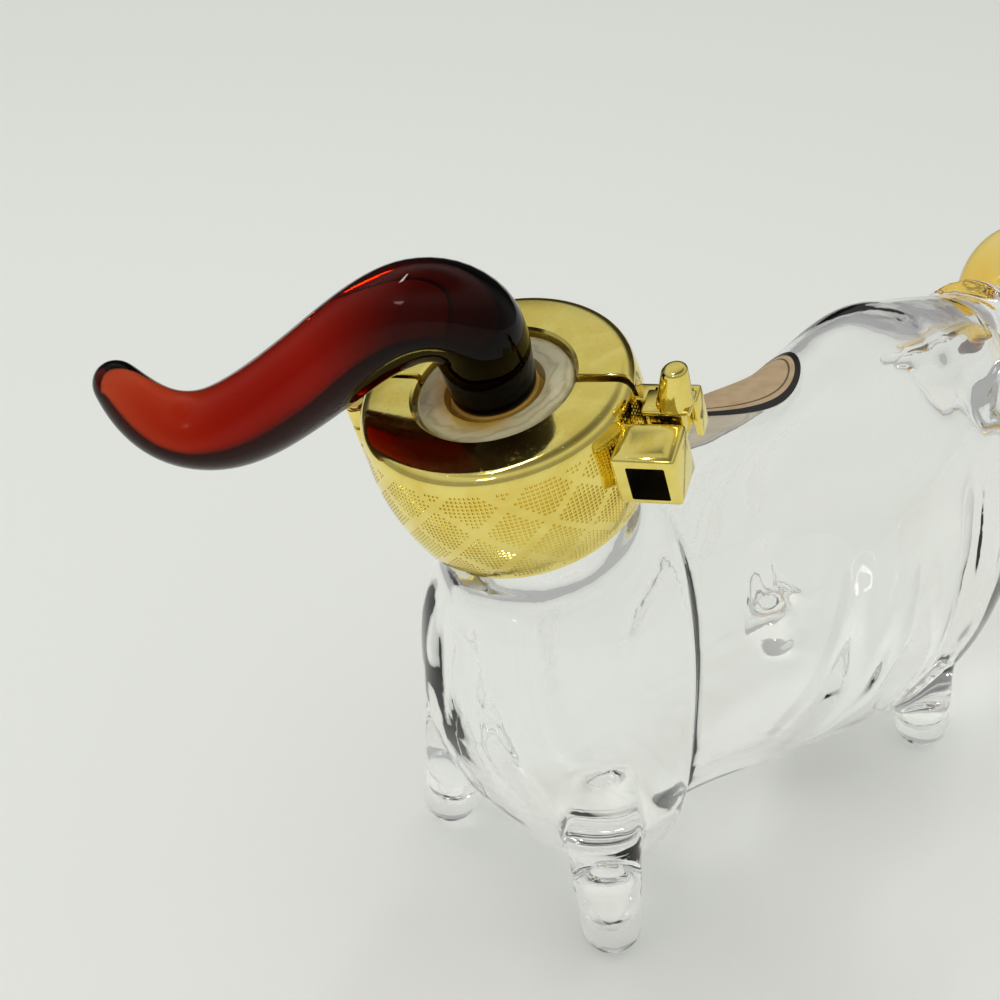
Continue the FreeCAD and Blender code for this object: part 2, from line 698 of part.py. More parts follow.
def make_pivot_pin():
    """Return the latch pivot pin, which lies along the lug."""
    base = FreeCAD.Vector(PIVOT_INNER_END, PIVOT_BACK, -PIVOT_DEPTH)
    return Part.makeCylinder(PIVOT_RADIUS, LUG_OUT - PIVOT_INNER_END, base, AXIS_X)


def make_lever():
    """Return the latch lever: hub, thumb peg, tongue and tooth."""
    inner = SLOT_IN + LEVER_SIDE_PLAY
    outer = SLOT_OUT - LEVER_SIDE_PLAY
    base = FreeCAD.Vector(inner, PIVOT_BACK, -PIVOT_DEPTH)
    hub = Part.makeCylinder(LEVER_HUB_RADIUS, outer - inner, base, AXIS_X)
    body = block(
        (inner, -LEVER_BLOCK_NEAR, -PIVOT_DEPTH),
        (outer, LEVER_BLOCK_FAR, -LEVER_BLOCK_TOP_DEPTH),
    )
    tongue = block(
        (TONGUE_IN, -TONGUE_REACH, -TONGUE_TOP_DEPTH - TONGUE_THICKNESS),
        (TONGUE_OUT, PIVOT_BACK, -TONGUE_TOP_DEPTH),
    )
    tooth = block(
        (TONGUE_IN, -TONGUE_REACH, -TONGUE_TOP_DEPTH),
        (TONGUE_OUT, -TOOTH_START, -TOOTH_TOP_DEPTH),
    )
    foot = FreeCAD.Vector(PEG_OUT, PEG_NEAR, -LEVER_BLOCK_TOP_DEPTH)
    height = PEG_RISE + LEVER_BLOCK_TOP_DEPTH
    peg = Part.makeCone(PEG_ROOT_RADIUS, PEG_TIP_RADIUS, height, foot)
    tip = Part.makeSphere(PEG_TIP_RADIUS, FreeCAD.Vector(PEG_OUT, PEG_NEAR, PEG_RISE))
    lever = hub.fuse(body).fuse(tongue).fuse(tooth).fuse(peg).fuse(tip)
    hole = Part.makeCylinder(PIVOT_RADIUS + PIVOT_RUNNING, outer - inner, base, AXIS_X)
    return lever.cut(hole).removeSplitter()


def make_tail():
    """Return the curved amber rod with its shank and end button."""
    places = []
    radii = []
    stretches = []
    for reach, rise, slim, stretch in TAIL_STATION_SHARES:
        places.append(FreeCAD.Vector(reach * TAIL_REACH, 0.0, rise * TAIL_RISE))
        radii.append(slim * TAIL_RADIUS)
        stretches.append(stretch)
    places[0].z = -SHOULDER_DEPTH
    rod = rod_through(places, radii, stretches, AXIS_Y, AXIS_Z)
    button_top = BUTTON_HEIGHT - SHANK_DEPTH
    shank = turned_solid((
        (0.0, -SHANK_DEPTH),
        (BUTTON_RADIUS, -SHANK_DEPTH),
        (BUTTON_RADIUS, button_top),
        (SHANK_RADIUS, button_top),
        (SHANK_RADIUS, 0.0),
        (0.0, 0.0),
    ))
    return rod.fuse(shank).removeSplitter()


def make_sleeve():
    """Return the ribbed sealing sleeve on the shank."""
    top = -SHOULDER_DEPTH - SLEEVE_END_PLAY
    foot = BUTTON_HEIGHT - SHANK_DEPTH + SLEEVE_END_PLAY
    pitch = (top - foot) / SLEEVE_RIB_COUNT
    points = [(SHANK_RADIUS + SLEEVE_RUNNING, top), (SHANK_RADIUS + SLEEVE_RUNNING, foot)]
    for index in range(SLEEVE_RIB_COUNT):
        start = foot + index * pitch
        middle = start + pitch * SLEEVE_RIB_FILL_SHARE
        points.append((SLEEVE_RADIUS, start))
        points.append((SLEEVE_RIB_RADIUS, start + (middle - start) / 2.0))
        points.append((SLEEVE_RIB_RADIUS, middle))
        points.append((SLEEVE_RADIUS, middle + (middle - start) / 2.0))
    points.append((SLEEVE_RADIUS, top))
    return turned_solid(points)


def build_nodes():
    """Return every piece of the decanter by name, in the drawing frame under the neck's mouth."""
    nodes = {}
    body = body_form(0.0, True)
    cavity = body_form(-GLASS_WALL, False)
    passage = Part.makeCylinder(ROOT_RADIUS, root_depth(), FreeCAD.Vector(0.0, 0.0, -root_depth()))
    shell = body.cut(cavity).cut(on_neck(passage, PARTING_TURN_DEG))
    nodes["body_shell"] = shell
    nodes["neck_finish"] = make_neck().cut(cavity).cut(shell)
    for side, word in ((1, "left"), (-1, "right")):
        nodes["front_" + word + "_leg"] = make_leg(body_x(FRONT_LEG_SHARE), side, body)
        nodes["rear_" + word + "_leg"] = make_leg(body_x(REAR_LEG_SHARE), side, body)
    head = make_head()
    nodes["head"] = head.cut(body)
    for side, word in ((1, "left"), (-1, "right")):
        nodes[word + "_horn"] = make_horn(side).cut(head).cut(body)
        nodes[word + "_ear"] = make_ear(side).cut(head).cut(body)
        eye = Part.makeSphere(EYE_RADIUS, place_on_head(EYE_CENTRE_SHARES, side))
        nodes[word + "_eye"] = eye.cut(head).cut(body)
    nodes["back_label"] = make_label(body)
    ring = make_collar_ring()
    hollow = collar_hollow()
    on_collar = {
        "collar_rear_half": make_rear_half(ring, hollow),
        "collar_front_half": make_front_half(ring, hollow),
        "rear_liner": make_liner(-1, 0.0, hollow),
        "front_liner": make_liner(1, LINER_CLEARANCE, hollow),
        "hinge_pin": make_hinge_pin(),
        "latch_pivot_pin": make_pivot_pin(),
        "latch_lever": make_lever(),
    }
    for name, shape in on_collar.items():
        nodes[name] = on_neck(shape, PARTING_TURN_DEG)
    nodes["tail_stopper"] = on_neck(make_tail(), TAIL_TURN_DEG)
    nodes["stopper_sleeve"] = on_neck(make_sleeve(), TAIL_TURN_DEG)
    return nodes


def settled_shift(nodes):
    """Return the move that centres the part over the origin with its feet at height zero."""
    box = Part.makeCompound(list(nodes.values())).optimalBoundingBox(False)
    return FreeCAD.Vector(-box.Center.x, -box.Center.y, -box.ZMin)


def main():
    """Build the decanter and write one file for each piece."""
    os.makedirs("parts", exist_ok=True)
    nodes = build_nodes()
    shift = settled_shift(nodes)
    for name, shape in nodes.items():
        placed = shape.copy()
        placed.translate(shift)
        placed.exportStep(os.path.join("parts", name + ".step"))


if __name__ == "__main__":
    main()
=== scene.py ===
"""Dresses the glass bull decanter: its blown body, amber tail stopper and gold clamp collar."""
import json
import logging
import math
from contextlib import contextmanager
from dataclasses import dataclass
from enum import Enum
from typing import Callable, Iterator, Sequence

import bmesh
import bpy
from mathutils import Matrix, Vector


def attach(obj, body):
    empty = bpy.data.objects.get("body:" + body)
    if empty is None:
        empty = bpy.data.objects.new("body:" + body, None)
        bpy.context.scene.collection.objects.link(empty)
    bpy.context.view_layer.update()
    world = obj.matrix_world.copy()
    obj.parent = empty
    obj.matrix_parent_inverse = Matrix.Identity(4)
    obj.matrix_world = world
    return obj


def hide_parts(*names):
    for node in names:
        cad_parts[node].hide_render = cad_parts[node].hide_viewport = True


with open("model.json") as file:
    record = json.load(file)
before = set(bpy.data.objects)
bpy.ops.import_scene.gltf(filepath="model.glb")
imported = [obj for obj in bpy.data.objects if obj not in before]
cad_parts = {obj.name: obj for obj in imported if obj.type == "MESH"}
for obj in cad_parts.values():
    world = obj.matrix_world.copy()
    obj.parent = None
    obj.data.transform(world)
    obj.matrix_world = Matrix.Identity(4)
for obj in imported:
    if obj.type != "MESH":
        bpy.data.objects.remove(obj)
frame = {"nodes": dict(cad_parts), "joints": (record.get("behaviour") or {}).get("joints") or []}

LOG = logging.getLogger("decanter")
MM = 0.001
MERGE = 0.002 * MM  # points nearer than this are one point
ON_PLANE = 0.001 * MM  # points nearer than this to a plane lie on it
MOUTH_HEIGHT = 129.5 * MM  # height of the collar's top in the drawing frame
CAUGHT_DEPTH = 5.5  # a ray with more bounces than this is caught in the glass
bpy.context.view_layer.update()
JOINTS = {joint["name"]: joint for joint in frame["joints"]}
Triple = tuple[float, float, float]


class Rider(Enum):
    """The bodies that the new pieces ride on."""

    BOTTLE = "bottle"
    GATE = "gate"
    LATCH = "latch"
    TAIL = "tail"


class Side(Enum):
    """The two halves of the collar, by the sign of their side of the parting."""

    REAR = -1
    FRONT = 1


class Pick(Enum):
    """What edit mode selects."""

    POINTS = "VERT"
    EDGES = "EDGE"
    FACES = "FACE"


@dataclass(frozen=True)
class NeckFrame:
    """The leaning frame of the neck.

    Attributes:
        mouth: Middle of the collar's top face.
        axis: Direction up the neck.
        latch: Direction from the neck's axis to the latch.
    """

    mouth: Vector
    axis: Vector
    latch: Vector

    @classmethod
    def from_joints(cls) -> "NeckFrame":
        """Read the frame from the joints of the stopper and the latch.

        Returns:
            The frame.
        """
        twist = JOINTS["tail_twist"]
        latch = -Vector(JOINTS["latch_turn"]["axis"])
        return cls(Vector(twist["pos_m"]), Vector(twist["axis"]).normalized(), latch.normalized())

    def matrix(self, turn_deg: float = 0.0) -> Matrix:
        """Return the matrix from an upright drawing on the neck to the row's frame.

        Args:
            turn_deg: Turn about the neck's axis, counted from the latch.

        Returns:
            The 4 by 4 matrix.
        """
        across = self.axis.cross(self.latch)
        turned = Matrix((self.latch, across, self.axis)).transposed().to_4x4()
        return Matrix.Translation(self.mouth) @ turned @ Matrix.Rotation(math.radians(turn_deg), 4, "Z")

    def shift(self) -> Vector:
        """Return the move from the drawing frame under the mouth to the row's frame."""
        return self.mouth - Vector((0.0, 0.0, MOUTH_HEIGHT))


NECK = NeckFrame.from_joints()


def row_point(x_mm: float, y_mm: float, z_mm: float) -> Vector:
    """Return a point of the drawing frame, given in millimetres, in the row's frame."""
    return Vector((x_mm, y_mm, z_mm)) * MM + NECK.shift()


@dataclass(frozen=True)
class Ring:
    """One station of a bent rod, drawn in the plane of X and Z.

    Attributes:
        middle: Its middle.
        radius: Its radius.
        stretch: Its stretch in the plane of the bend.
        way: The rod's direction there.
    """

    middle: Vector
    radius: float
    stretch: float
    way: Vector


def round_tip(last: Ring, turns_deg: Sequence[float]) -> list[Ring]:
    """Return the rings that round off a rod's end.

    Args:
        last: The rod's last full ring.
        turns_deg: Angles over the round tip, from its edge towards its pole.

    Returns:
        The rings beyond the last full one.
    """
    rings = []
    for turn_deg in turns_deg:
        turn = math.radians(turn_deg)
        middle = last.middle + last.way * (last.radius * math.sin(turn))
        rings.append(Ring(middle, last.radius * math.cos(turn), 1.0, last.way))
    return rings


class Bench:
    """The modelling bench: the few steps that every piece is made with."""

    @staticmethod
    def clear() -> None:
        """Leave edit mode and deselect everything."""
        if bpy.context.object is not None and bpy.context.object.mode != "OBJECT":
            bpy.ops.object.mode_set(mode="OBJECT")
        bpy.ops.object.select_all(action="DESELECT")

    @staticmethod
    def choose(piece: bpy.types.Object) -> None:
        """Select one piece alone and make it active.

        Args:
            piece: The piece.
        """
        Bench.clear()
        piece.select_set(True)
        bpy.context.view_layer.objects.active = piece

    @staticmethod
    @contextmanager
    def editing(piece: bpy.types.Object) -> Iterator[None]:
        """Hold a piece in edit mode, at first with all of it selected.

        Args:
            piece: The piece.

        Returns:
            The context, which leaves edit mode at its end.
        """
        Bench.choose(piece)
        bpy.ops.object.mode_set(mode="EDIT")
        bpy.ops.mesh.select_mode(type=Pick.POINTS.value)
        bpy.ops.mesh.select_all(action="SELECT")
        yield
        bpy.ops.object.mode_set(mode="OBJECT")

    @staticmethod
    def named(name: str) -> bpy.types.Object:
        """Name the piece that was just added, and its mesh.

        Args:
            name: The name of both.

        Returns:
            The piece.
        """
        piece = bpy.context.object
        piece.name = name
        piece.data.name = name
        return piece

    @staticmethod
    def cube(name: str, low: Triple, high: Triple, round_mm: float) -> bpy.types.Object:
        """Add a block between two corners with rounded edges.

        Args:
            name: The piece's name.
            low: Lowest corner in millimetres.
            high: Highest corner in millimetres.
            round_mm: Radius of its edges, or zero for sharp ones.

        Returns:
            The block, still in its upright drawing frame.
        """
        Bench.clear()
        middle = [(a + b) / 2.0 * MM for a, b in zip(low, high)]
        bpy.ops.mesh.primitive_cube_add(size=1.0, location=middle)
        piece = Bench.named(name)
        piece.scale = [(b - a) * MM for a, b in zip(low, high)]
        bpy.ops.object.transform_apply(location=True, rotation=True, scale=True)
        if round_mm > 0.0:
            with Bench.editing(piece):
                bpy.ops.mesh.bevel(offset=round_mm * MM, segments=3, affect="EDGES")
        return piece

    @staticmethod
    def barrel(
        name: str, radius_mm: float, low: Triple, high: Triple, round_mm: float
    ) -> bpy.types.Object:
        """Add a round bar between two points with rounded ends.

        Args:
            name: The piece's name.
            radius_mm: The bar's radius.
            low: Its first end in millimetres.
            high: Its second end in millimetres.
            round_mm: Radius of its end edges.

        Returns:
            The bar, still in its upright drawing frame.
        """
        Bench.clear()
        start, end = Vector(low) * MM, Vector(high) * MM
        length = (end - start).length
        bpy.ops.mesh.primitive_cylinder_add(vertices=40, radius=radius_mm * MM, depth=length)
        piece = Bench.named(name)
        turn = (end - start).to_track_quat("Z", "Y").to_matrix().to_4x4()
        piece.matrix_world = Matrix.Translation((start + end) / 2.0) @ turn
        bpy.ops.object.transform_apply(location=True, rotation=True, scale=True)
        with Bench.editing(piece):
            Bench.pick(
                piece, Pick.EDGES,
                lambda edge: len(edge.link_faces) == 2 and edge.calc_face_angle() > 1.0,
            )
            bpy.ops.mesh.bevel(offset=round_mm * MM, segments=3, affect="EDGES")
        return piece

    @staticmethod
    def pick(piece: bpy.types.Object, kind: Pick, test: Callable[..., bool]) -> int:
        """Select the points, edges or faces that pass a test, in edit mode.

        Args:
            piece: The piece in edit mode.
            kind: What is selected.
            test: Tells of one point, edge or face whether to select it.

        Returns:
            The number selected.
        """
        bpy.ops.mesh.select_mode(type=kind.value)
        bpy.ops.mesh.select_all(action="DESELECT")
        shape = bmesh.from_edit_mesh(piece.data)
        parts = {Pick.POINTS: shape.verts, Pick.EDGES: shape.edges, Pick.FACES: shape.faces}
        chosen = [part for part in parts[kind] if test(part)]
        for part in chosen:
            part.select_set(True)
        shape.select_flush_mode()
        bmesh.update_edit_mesh(piece.data)
        return len(chosen)

    @staticmethod
    def lathe(name: str, profile: Sequence[tuple[float, float]], steps: int) -> bpy.types.Object:
        """Spin a closed profile about the upright axis.

        Args:
            name: The piece's name.
            profile: Pairs of radius and height in millimetres, in order round the profile.
            steps: Steps of the full turn.

        Returns:
            The turned piece in its upright drawing frame.
        """
        Bench.clear()
        bpy.ops.mesh.primitive_plane_add(size=MM)
        piece = Bench.named(name)
        with Bench.editing(piece):
            bpy.ops.mesh.merge(type="CENTER")
            bpy.ops.mesh.select_all(action="SELECT")
            place = Vector((0.0, 0.0, 0.0))
            for index, (radius, height) in enumerate(profile):
                target = Vector((radius, 0.0, height)) * MM
                if index == 0:
                    bpy.ops.transform.translate(value=target)
                else:
                    step = {"value": target - place}
                    bpy.ops.mesh.extrude_vertices_move(TRANSFORM_OT_translate=step)
                place = target
            Bench.pick(piece, Pick.POINTS, lambda point: len(point.link_edges) == 1)
            bpy.ops.mesh.edge_face_add()
            bpy.ops.mesh.select_all(action="SELECT")
            bpy.ops.mesh.spin(
                steps=steps, angle=math.tau, center=(0.0, 0.0, 0.0), axis=(0.0, 0.0, 1.0)
            )
            bpy.ops.mesh.select_all(action="SELECT")
            bpy.ops.mesh.remove_doubles(threshold=MERGE)
            bpy.ops.mesh.normals_make_consistent(inside=False)
        return piece

    @staticmethod
    def rod(name: str, rings: Sequence[Ring], sides: int) -> bpy.types.Object:
        """Extrude a ring along its stations, in the plane of X and Z, to a closed round rod.

        Args:
            name: The piece's name.
            rings: The rod's stations.
            sides: Sides of a ring.

        Returns:
            The rod in its drawing frame, smoothed by subdivision.
        """
        Bench.clear()
        bpy.ops.mesh.primitive_circle_add(
            vertices=sides, radius=rings[0].radius, fill_type="NGON", location=rings[0].middle
        )
        piece = Bench.named(name)
        bpy.ops.object.transform_apply(location=True, rotation=True, scale=True)
        with Bench.editing(piece):
            for old, new in zip(rings, rings[1:]):
                step = {"value": new.middle - old.middle}
                bpy.ops.mesh.extrude_region_move(TRANSFORM_OT_translate=step)
                turn = math.atan2(new.way.x, new.way.z) - math.atan2(old.way.x, old.way.z)
                if abs(turn) > 1e-6:
                    bpy.ops.transform.rotate(value=-turn, orient_axis="Y", center_override=new.middle)
                grow = new.radius * new.stretch / (old.radius * old.stretch)
                wide = new.radius / old.radius
                bpy.ops.transform.resize(value=(grow, wide, grow), center_override=new.middle)
            bpy.ops.mesh.select_all(action="SELECT")
            bpy.ops.mesh.normals_make_consistent(inside=False)
        Bench.modify(piece, "SUBSURF", levels=2, render_levels=2)
        return piece

    @staticmethod
    def copy_of(node: str, name: str) -> bpy.types.Object:
        """Copy a CAD node's mesh as a new piece, with its loose triangles merged.

        Args:
            node: The node's name.
            name: The new piece's name.

        Returns:
            The new piece.
        """
        Bench.clear()
        piece = bpy.data.objects.new(name, frame["nodes"][node].data.copy())
        piece.data.name = name
        piece.data.materials.clear()
        bpy.context.scene.collection.objects.link(piece)
        with Bench.editing(piece):
            bpy.ops.mesh.remove_doubles(threshold=MERGE)
        return piece

    @staticmethod
    def trim(piece: bpy.types.Object, point: Vector, normal: Vector) -> None:
        """Cut a closed piece by a plane, keep what lies behind the normal and close the cut."""
        with Bench.editing(piece):
            bpy.ops.mesh.bisect(plane_co=point, plane_no=normal, use_fill=True, clear_outer=True)

    @staticmethod
    def join(pieces: Sequence[bpy.types.Object]) -> bpy.types.Object:
        """Join pieces into the first one.

        Args:
            pieces: The pieces.

        Returns:
            The first piece, which holds all of them.
        """
        Bench.choose(pieces[0])
        for piece in pieces[1:]:
            piece.select_set(True)
        bpy.ops.object.join()
        return bpy.context.object

    @staticmethod
    def modify(piece: bpy.types.Object, kind: str, **settings: object) -> None:
        """Add a modifier and apply it.

        Args:
            piece: The piece.
            kind: The modifier's type.
            settings: Its settings, by name.
        """
        Bench.choose(piece)
        modifier = piece.modifiers.new(kind.title(), kind)
        for key, value in settings.items():
            setattr(modifier, key, value)
        bpy.ops.object.modifier_apply(modifier=modifier.name)

    @staticmethod
    def carve(piece: bpy.types.Object, cutter: bpy.types.Object) -> None:
        """Cut one closed piece out of another and remove the cutter."""
        Bench.modify(piece, "BOOLEAN", operation="DIFFERENCE", object=cutter, solver="EXACT")
        bpy.data.objects.remove(cutter)

    @staticmethod
    def settle(piece: bpy.types.Object, matrix: Matrix, angle_deg: float) -> bpy.types.Object:
        """Move a drawn piece to its place, with its place in its mesh, and smooth its shading.

        Args:
            piece: The drawn piece.
            matrix: Where its drawing frame goes.
            angle_deg: Edges flatter than this are shaded smooth.

        Returns:
            The same piece.
        """
        Bench.choose(piece)
        piece.matrix_world = matrix
        bpy.ops.object.transform_apply(location=True, rotation=True, scale=True)
        bpy.ops.object.shade_smooth_by_angle(angle=math.radians(angle_deg))
        return piece

    @staticmethod
    def dress(piece: bpy.types.Object, rider: Rider, material: bpy.types.Material, slot: str) -> None:
        """Give a finished piece its material and its body.

        Args:
            piece: The settled piece.
            rider: The body that it rides on.
            material: Its material.
            slot: Its finish's name; not used.
        """
        piece.data.materials.clear()
        piece.data.materials.append(material)
        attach(piece, rider.value)
        faces = len(piece.data.polygons)
        LOG.info("piece %s: %d faces, rides on %s", piece.name, faces, rider.value)


class Value:
    """A shader socket that takes part in plain arithmetic."""

    def __init__(self, graph: "NodeSheet", socket: bpy.types.NodeSocket) -> None:
        """Wrap a socket of a graph."""
        self.graph = graph
        self.socket = socket

    def _math(self, operation: str, first: object, second: object) -> "Value":
        """Return the value of a Math node."""
        node = self.graph.node("ShaderNodeMath", {"operation": operation}, {0: first, 1: second})
        return Value(self.graph, node.outputs[0])

    def __add__(self, other: "Value | float") -> "Value":
        """Return the sum."""
        return self._math("ADD", self, other)

    __radd__ = __add__

    def __mul__(self, other: "Value | float") -> "Value":
        """Return the product."""
        return self._math("MULTIPLY", self, other)

    __rmul__ = __mul__

    def __sub__(self, other: "Value | float") -> "Value":
        """Return the difference."""
        return self._math("SUBTRACT", self, other)

    def __rsub__(self, other: "Value | float") -> "Value":
        """Return the difference the other way round."""
        return self._math("SUBTRACT", other, self)

    def __truediv__(self, other: "Value | float") -> "Value":
        """Return the quotient."""
        return self._math("DIVIDE", self, other)

    def __pow__(self, other: float) -> "Value":
        """Return the power."""
        return self._math("POWER", self, other)

    def over(self, limit: float) -> "Value":
        """Return one where the value is above a limit, and zero elsewhere."""
        return self._math("GREATER_THAN", self, limit)

    def at_most(self, other: "Value | float") -> "Value":
        """Return the smaller of two values."""
        return self._math("MINIMUM", self, other)

    def sine(self) -> "Value":
        """Return the sine."""
        return self._math("SINE", self, 0.0)

    def span(self, low: float, high: float) -> "Value":
        """Return the value spread softly from zero to one, and held beyond.

        Args:
            low: Where the result is zero.
            high: Where the result is one.

        Returns:
            The spread value.
        """
        node = self.graph.node(
            "ShaderNodeMapRange", {"interpolation_type": "SMOOTHSTEP"}, {0: self, 1: low, 2: high}
        )
        return Value(self.graph, node.outputs[0])


class NodeSheet:
    """A node tree that starts empty."""

    def __init__(self, tree: bpy.types.NodeTree) -> None:
        """Clear the tree."""
        self.tree = tree
        self.tree.nodes.clear()

    def node(
        self, kind: str, settings: dict[str, object], inputs: dict[object, object]
    ) -> bpy.types.Node:
        """Add a node.

        Args:
            kind: The node's type.
            settings: Its own settings, set first; stops fill a colour ramp.
            inputs: Values or links of its sockets, by name or number.

        Returns:
            The new node.
        """
        node = self.tree.nodes.new(kind)
        for key, value in settings.items():
            if key == "stops":
                self._stops(node, value)
            else:
                setattr(node, key, value)
        for key, value in inputs.items():
            self.feed(node.inputs[key], value)
        return node

    def _stops(self, node: bpy.types.Node, stops: Sequence[tuple[float, Triple]]) -> None:
        """Fill a colour ramp with its stops.

        Args:
            node: The ramp's node.
            stops: Pairs of place and colour.
        """
        elements = node.color_ramp.elements
        while len(elements) < len(stops):
            elements.new(0.5)
        for element, (place, colour) in zip(elements, stops):
            element.position = place
            element.color = (*colour, 1.0)

    def feed(self, socket: bpy.types.NodeSocket, value: object) -> None:
        """Link a value to a socket, or set the socket to a constant.

        Args:
            socket: The socket.
            value: A wrapped value, a socket, a colour or a number.
        """
        if isinstance(value, Value):
            self.tree.links.new(value.socket, socket)
        elif isinstance(value, bpy.types.NodeSocket):
            self.tree.links.new(value, socket)
        elif isinstance(value, tuple) and len(value) == 3 and socket.type == "RGBA":
            socket.default_value = (*value, 1.0)
        else:
            socket.default_value = value

    def read(self, kind: str, output: str) -> Value:
        """Return one output of an input node."""
        return Value(self, self.node(kind, {}, {}).outputs[output])

    def parts(self, where: Value) -> tuple[Value, Value, Value]:
        """Return the three parts of a vector."""
        x, y, z = self.node("ShaderNodeSeparateXYZ", {}, {0: where}).outputs
        return Value(self, x), Value(self, y), Value(self, z)

    def blend(self, share: Value, first: object, second: object) -> Value:
        """Mix two colours.

        Args:
            share: The second colour's share.
            first: The first colour.
            second: The second colour.

        Returns:
            The mixed colour.
        """
        node = self.node("ShaderNodeMix", {"data_type": "RGBA"}, {0: share})
        self.feed(node.inputs[6], first)
        self.feed(node.inputs[7], second)
        return Value(self, node.outputs[2])


class Sky(NodeSheet):
    """The node tree of the world."""

    def __init__(self, name: str) -> None:
        """Start a world that the scene is lit by.

        Args:
            name: The world's name.
        """
        world = bpy.data.worlds.new(name)
        world.use_nodes = True
        bpy.context.scene.world = world
        super().__init__(world.node_tree)
        self.path = self.node("ShaderNodeLightPath", {}, {})
        self.direction = self.read("ShaderNodeTexCoord", "Generated")

    def ray(self, kind: str) -> Value:
        """Return what the light path tells about a ray."""
        return Value(self, self.path.outputs[kind])

    def ramp(self, height: Value, stops: Sequence[tuple[float, float]]) -> Value:
        """Return a nearly neutral colour by height.

        Args:
            height: The height of the direction, from the horizon to overhead.
            stops: Pairs of height and brightness.

        Returns:
            The colour.
        """
        tints = [(where, (level, level * 1.01, level * 0.98)) for where, level in stops]
        node = self.node("ShaderNodeValToRGB", {"stops": tints}, {0: height})
        return Value(self, node.outputs[0])

    def glow(self, colour: Value) -> None:
        """Let the world shine in a colour."""
        light = self.node("ShaderNodeBackground", {}, {"Color": colour})
        self.node("ShaderNodeOutputWorld", {}, {"Surface": light.outputs[0]})


class Graph(NodeSheet):
    """The node tree of one material, with one Principled shader."""

    def __init__(self, name: str) -> None:
        """Start a material with only its shader and output.

        Args:
            name: The material's name.
        """
        self.material = bpy.data.materials.new(name)
        self.material.use_nodes = True
        super().__init__(self.material.node_tree)
        self.shader = self.node("ShaderNodeBsdfPrincipled", {}, {})
        self.output = self.node("ShaderNodeOutputMaterial", {}, {"Surface": self.shader.outputs[0]})
        self.place = self.read("ShaderNodeTexCoord", "Object")

    def set(self, **inputs: object) -> None:
        """Feed the shader's sockets, named with underscores for spaces."""
        for key, value in inputs.items():
            self.feed(self.shader.inputs[key.replace("_", " ")], value)

    def moved(self, matrix: Matrix, scale: Triple = (1.0, 1.0, 1.0)) -> Value:
        """Return Object coordinates seen from another frame.

        Args:
            matrix: The frame, as its place and turn in the row.
            scale: Stretch of the pattern along the frame's axes.

        Returns:
            The coordinates in that frame.
        """
        back = matrix.inverted()
        turned = self.node(
            "ShaderNodeMapping", {"vector_type": "POINT"},
            {"Vector": self.place, "Location": tuple(back.to_translation()),
             "Rotation": tuple(back.to_euler())},
        )
        sized = self.node(
            "ShaderNodeVectorMath", {"operation": "MULTIPLY"}, {0: turned.outputs[0], 1: scale}
        )
        return Value(self, sized.outputs[0])

    def noise(self, where: Value, scale: float, detail: float = 2.0, warp: float = 0.0) -> Value:
        """Return a noise value from about zero to one.

        Args:
            where: The coordinates that it follows.
            scale: Its scale.
            detail: How many finer layers it has.
            warp: How far it is distorted.

        Returns:
            The noise value.
        """
        node = self.node(
            "ShaderNodeTexNoise", {},
            {"Vector": where, "Scale": scale, "Detail": detail, "Distortion": warp},
        )
        return Value(self, node.outputs["Fac"])

    def bump(
        self, height: Value, distance: float, strength: float, under: Value | None = None
    ) -> Value:
        """Return a normal bumped by a height.

        Args:
            height: The height, from zero to one.
            distance: The rise of one, in metres.
            strength: Share of the bump that is used.
            under: A normal that the bump lies on.

        Returns:
            The bumped normal.
        """
        sizes = {"Height": height, "Distance": distance, "Strength": strength}
        base = {} if under is None else {"Normal": under}
        return Value(self, self.node("ShaderNodeBump", {}, {**sizes, **base}).outputs[0])

    def let_through(self, shadow: float, colour: Triple) -> None:
        """Let light through to what the glass shades, and rays caught inside it run straight on.

        Args:
            shadow: Share of the light that reaches what lies in the glass's shadow.
            colour: Colour of that light.
        """
        path = self.node("ShaderNodeLightPath", {}, {})
        caught = Value(self, path.outputs["Ray Depth"]).over(CAUGHT_DEPTH)
        shaded = Value(self, path.outputs["Is Shadow Ray"]) * shadow
        share = (caught + shaded).at_most(1.0)
        clear = self.node("ShaderNodeBsdfTransparent", {}, {"Color": colour})
        mix = self.node(
            "ShaderNodeMixShader", {}, {0: share, 1: self.shader.outputs[0], 2: clear.outputs[0]}
        )
        self.feed(self.output.inputs["Surface"], mix.outputs[0])

    def absorb(self, colour: Triple, density: float) -> None:
        """Fill the piece with a colour that deepens with thickness."""
        node = self.node("ShaderNodeVolumeAbsorption", {}, {"Color": colour, "Density": density})
        self.tree.links.new(node.outputs[0], self.output.inputs["Volume"])


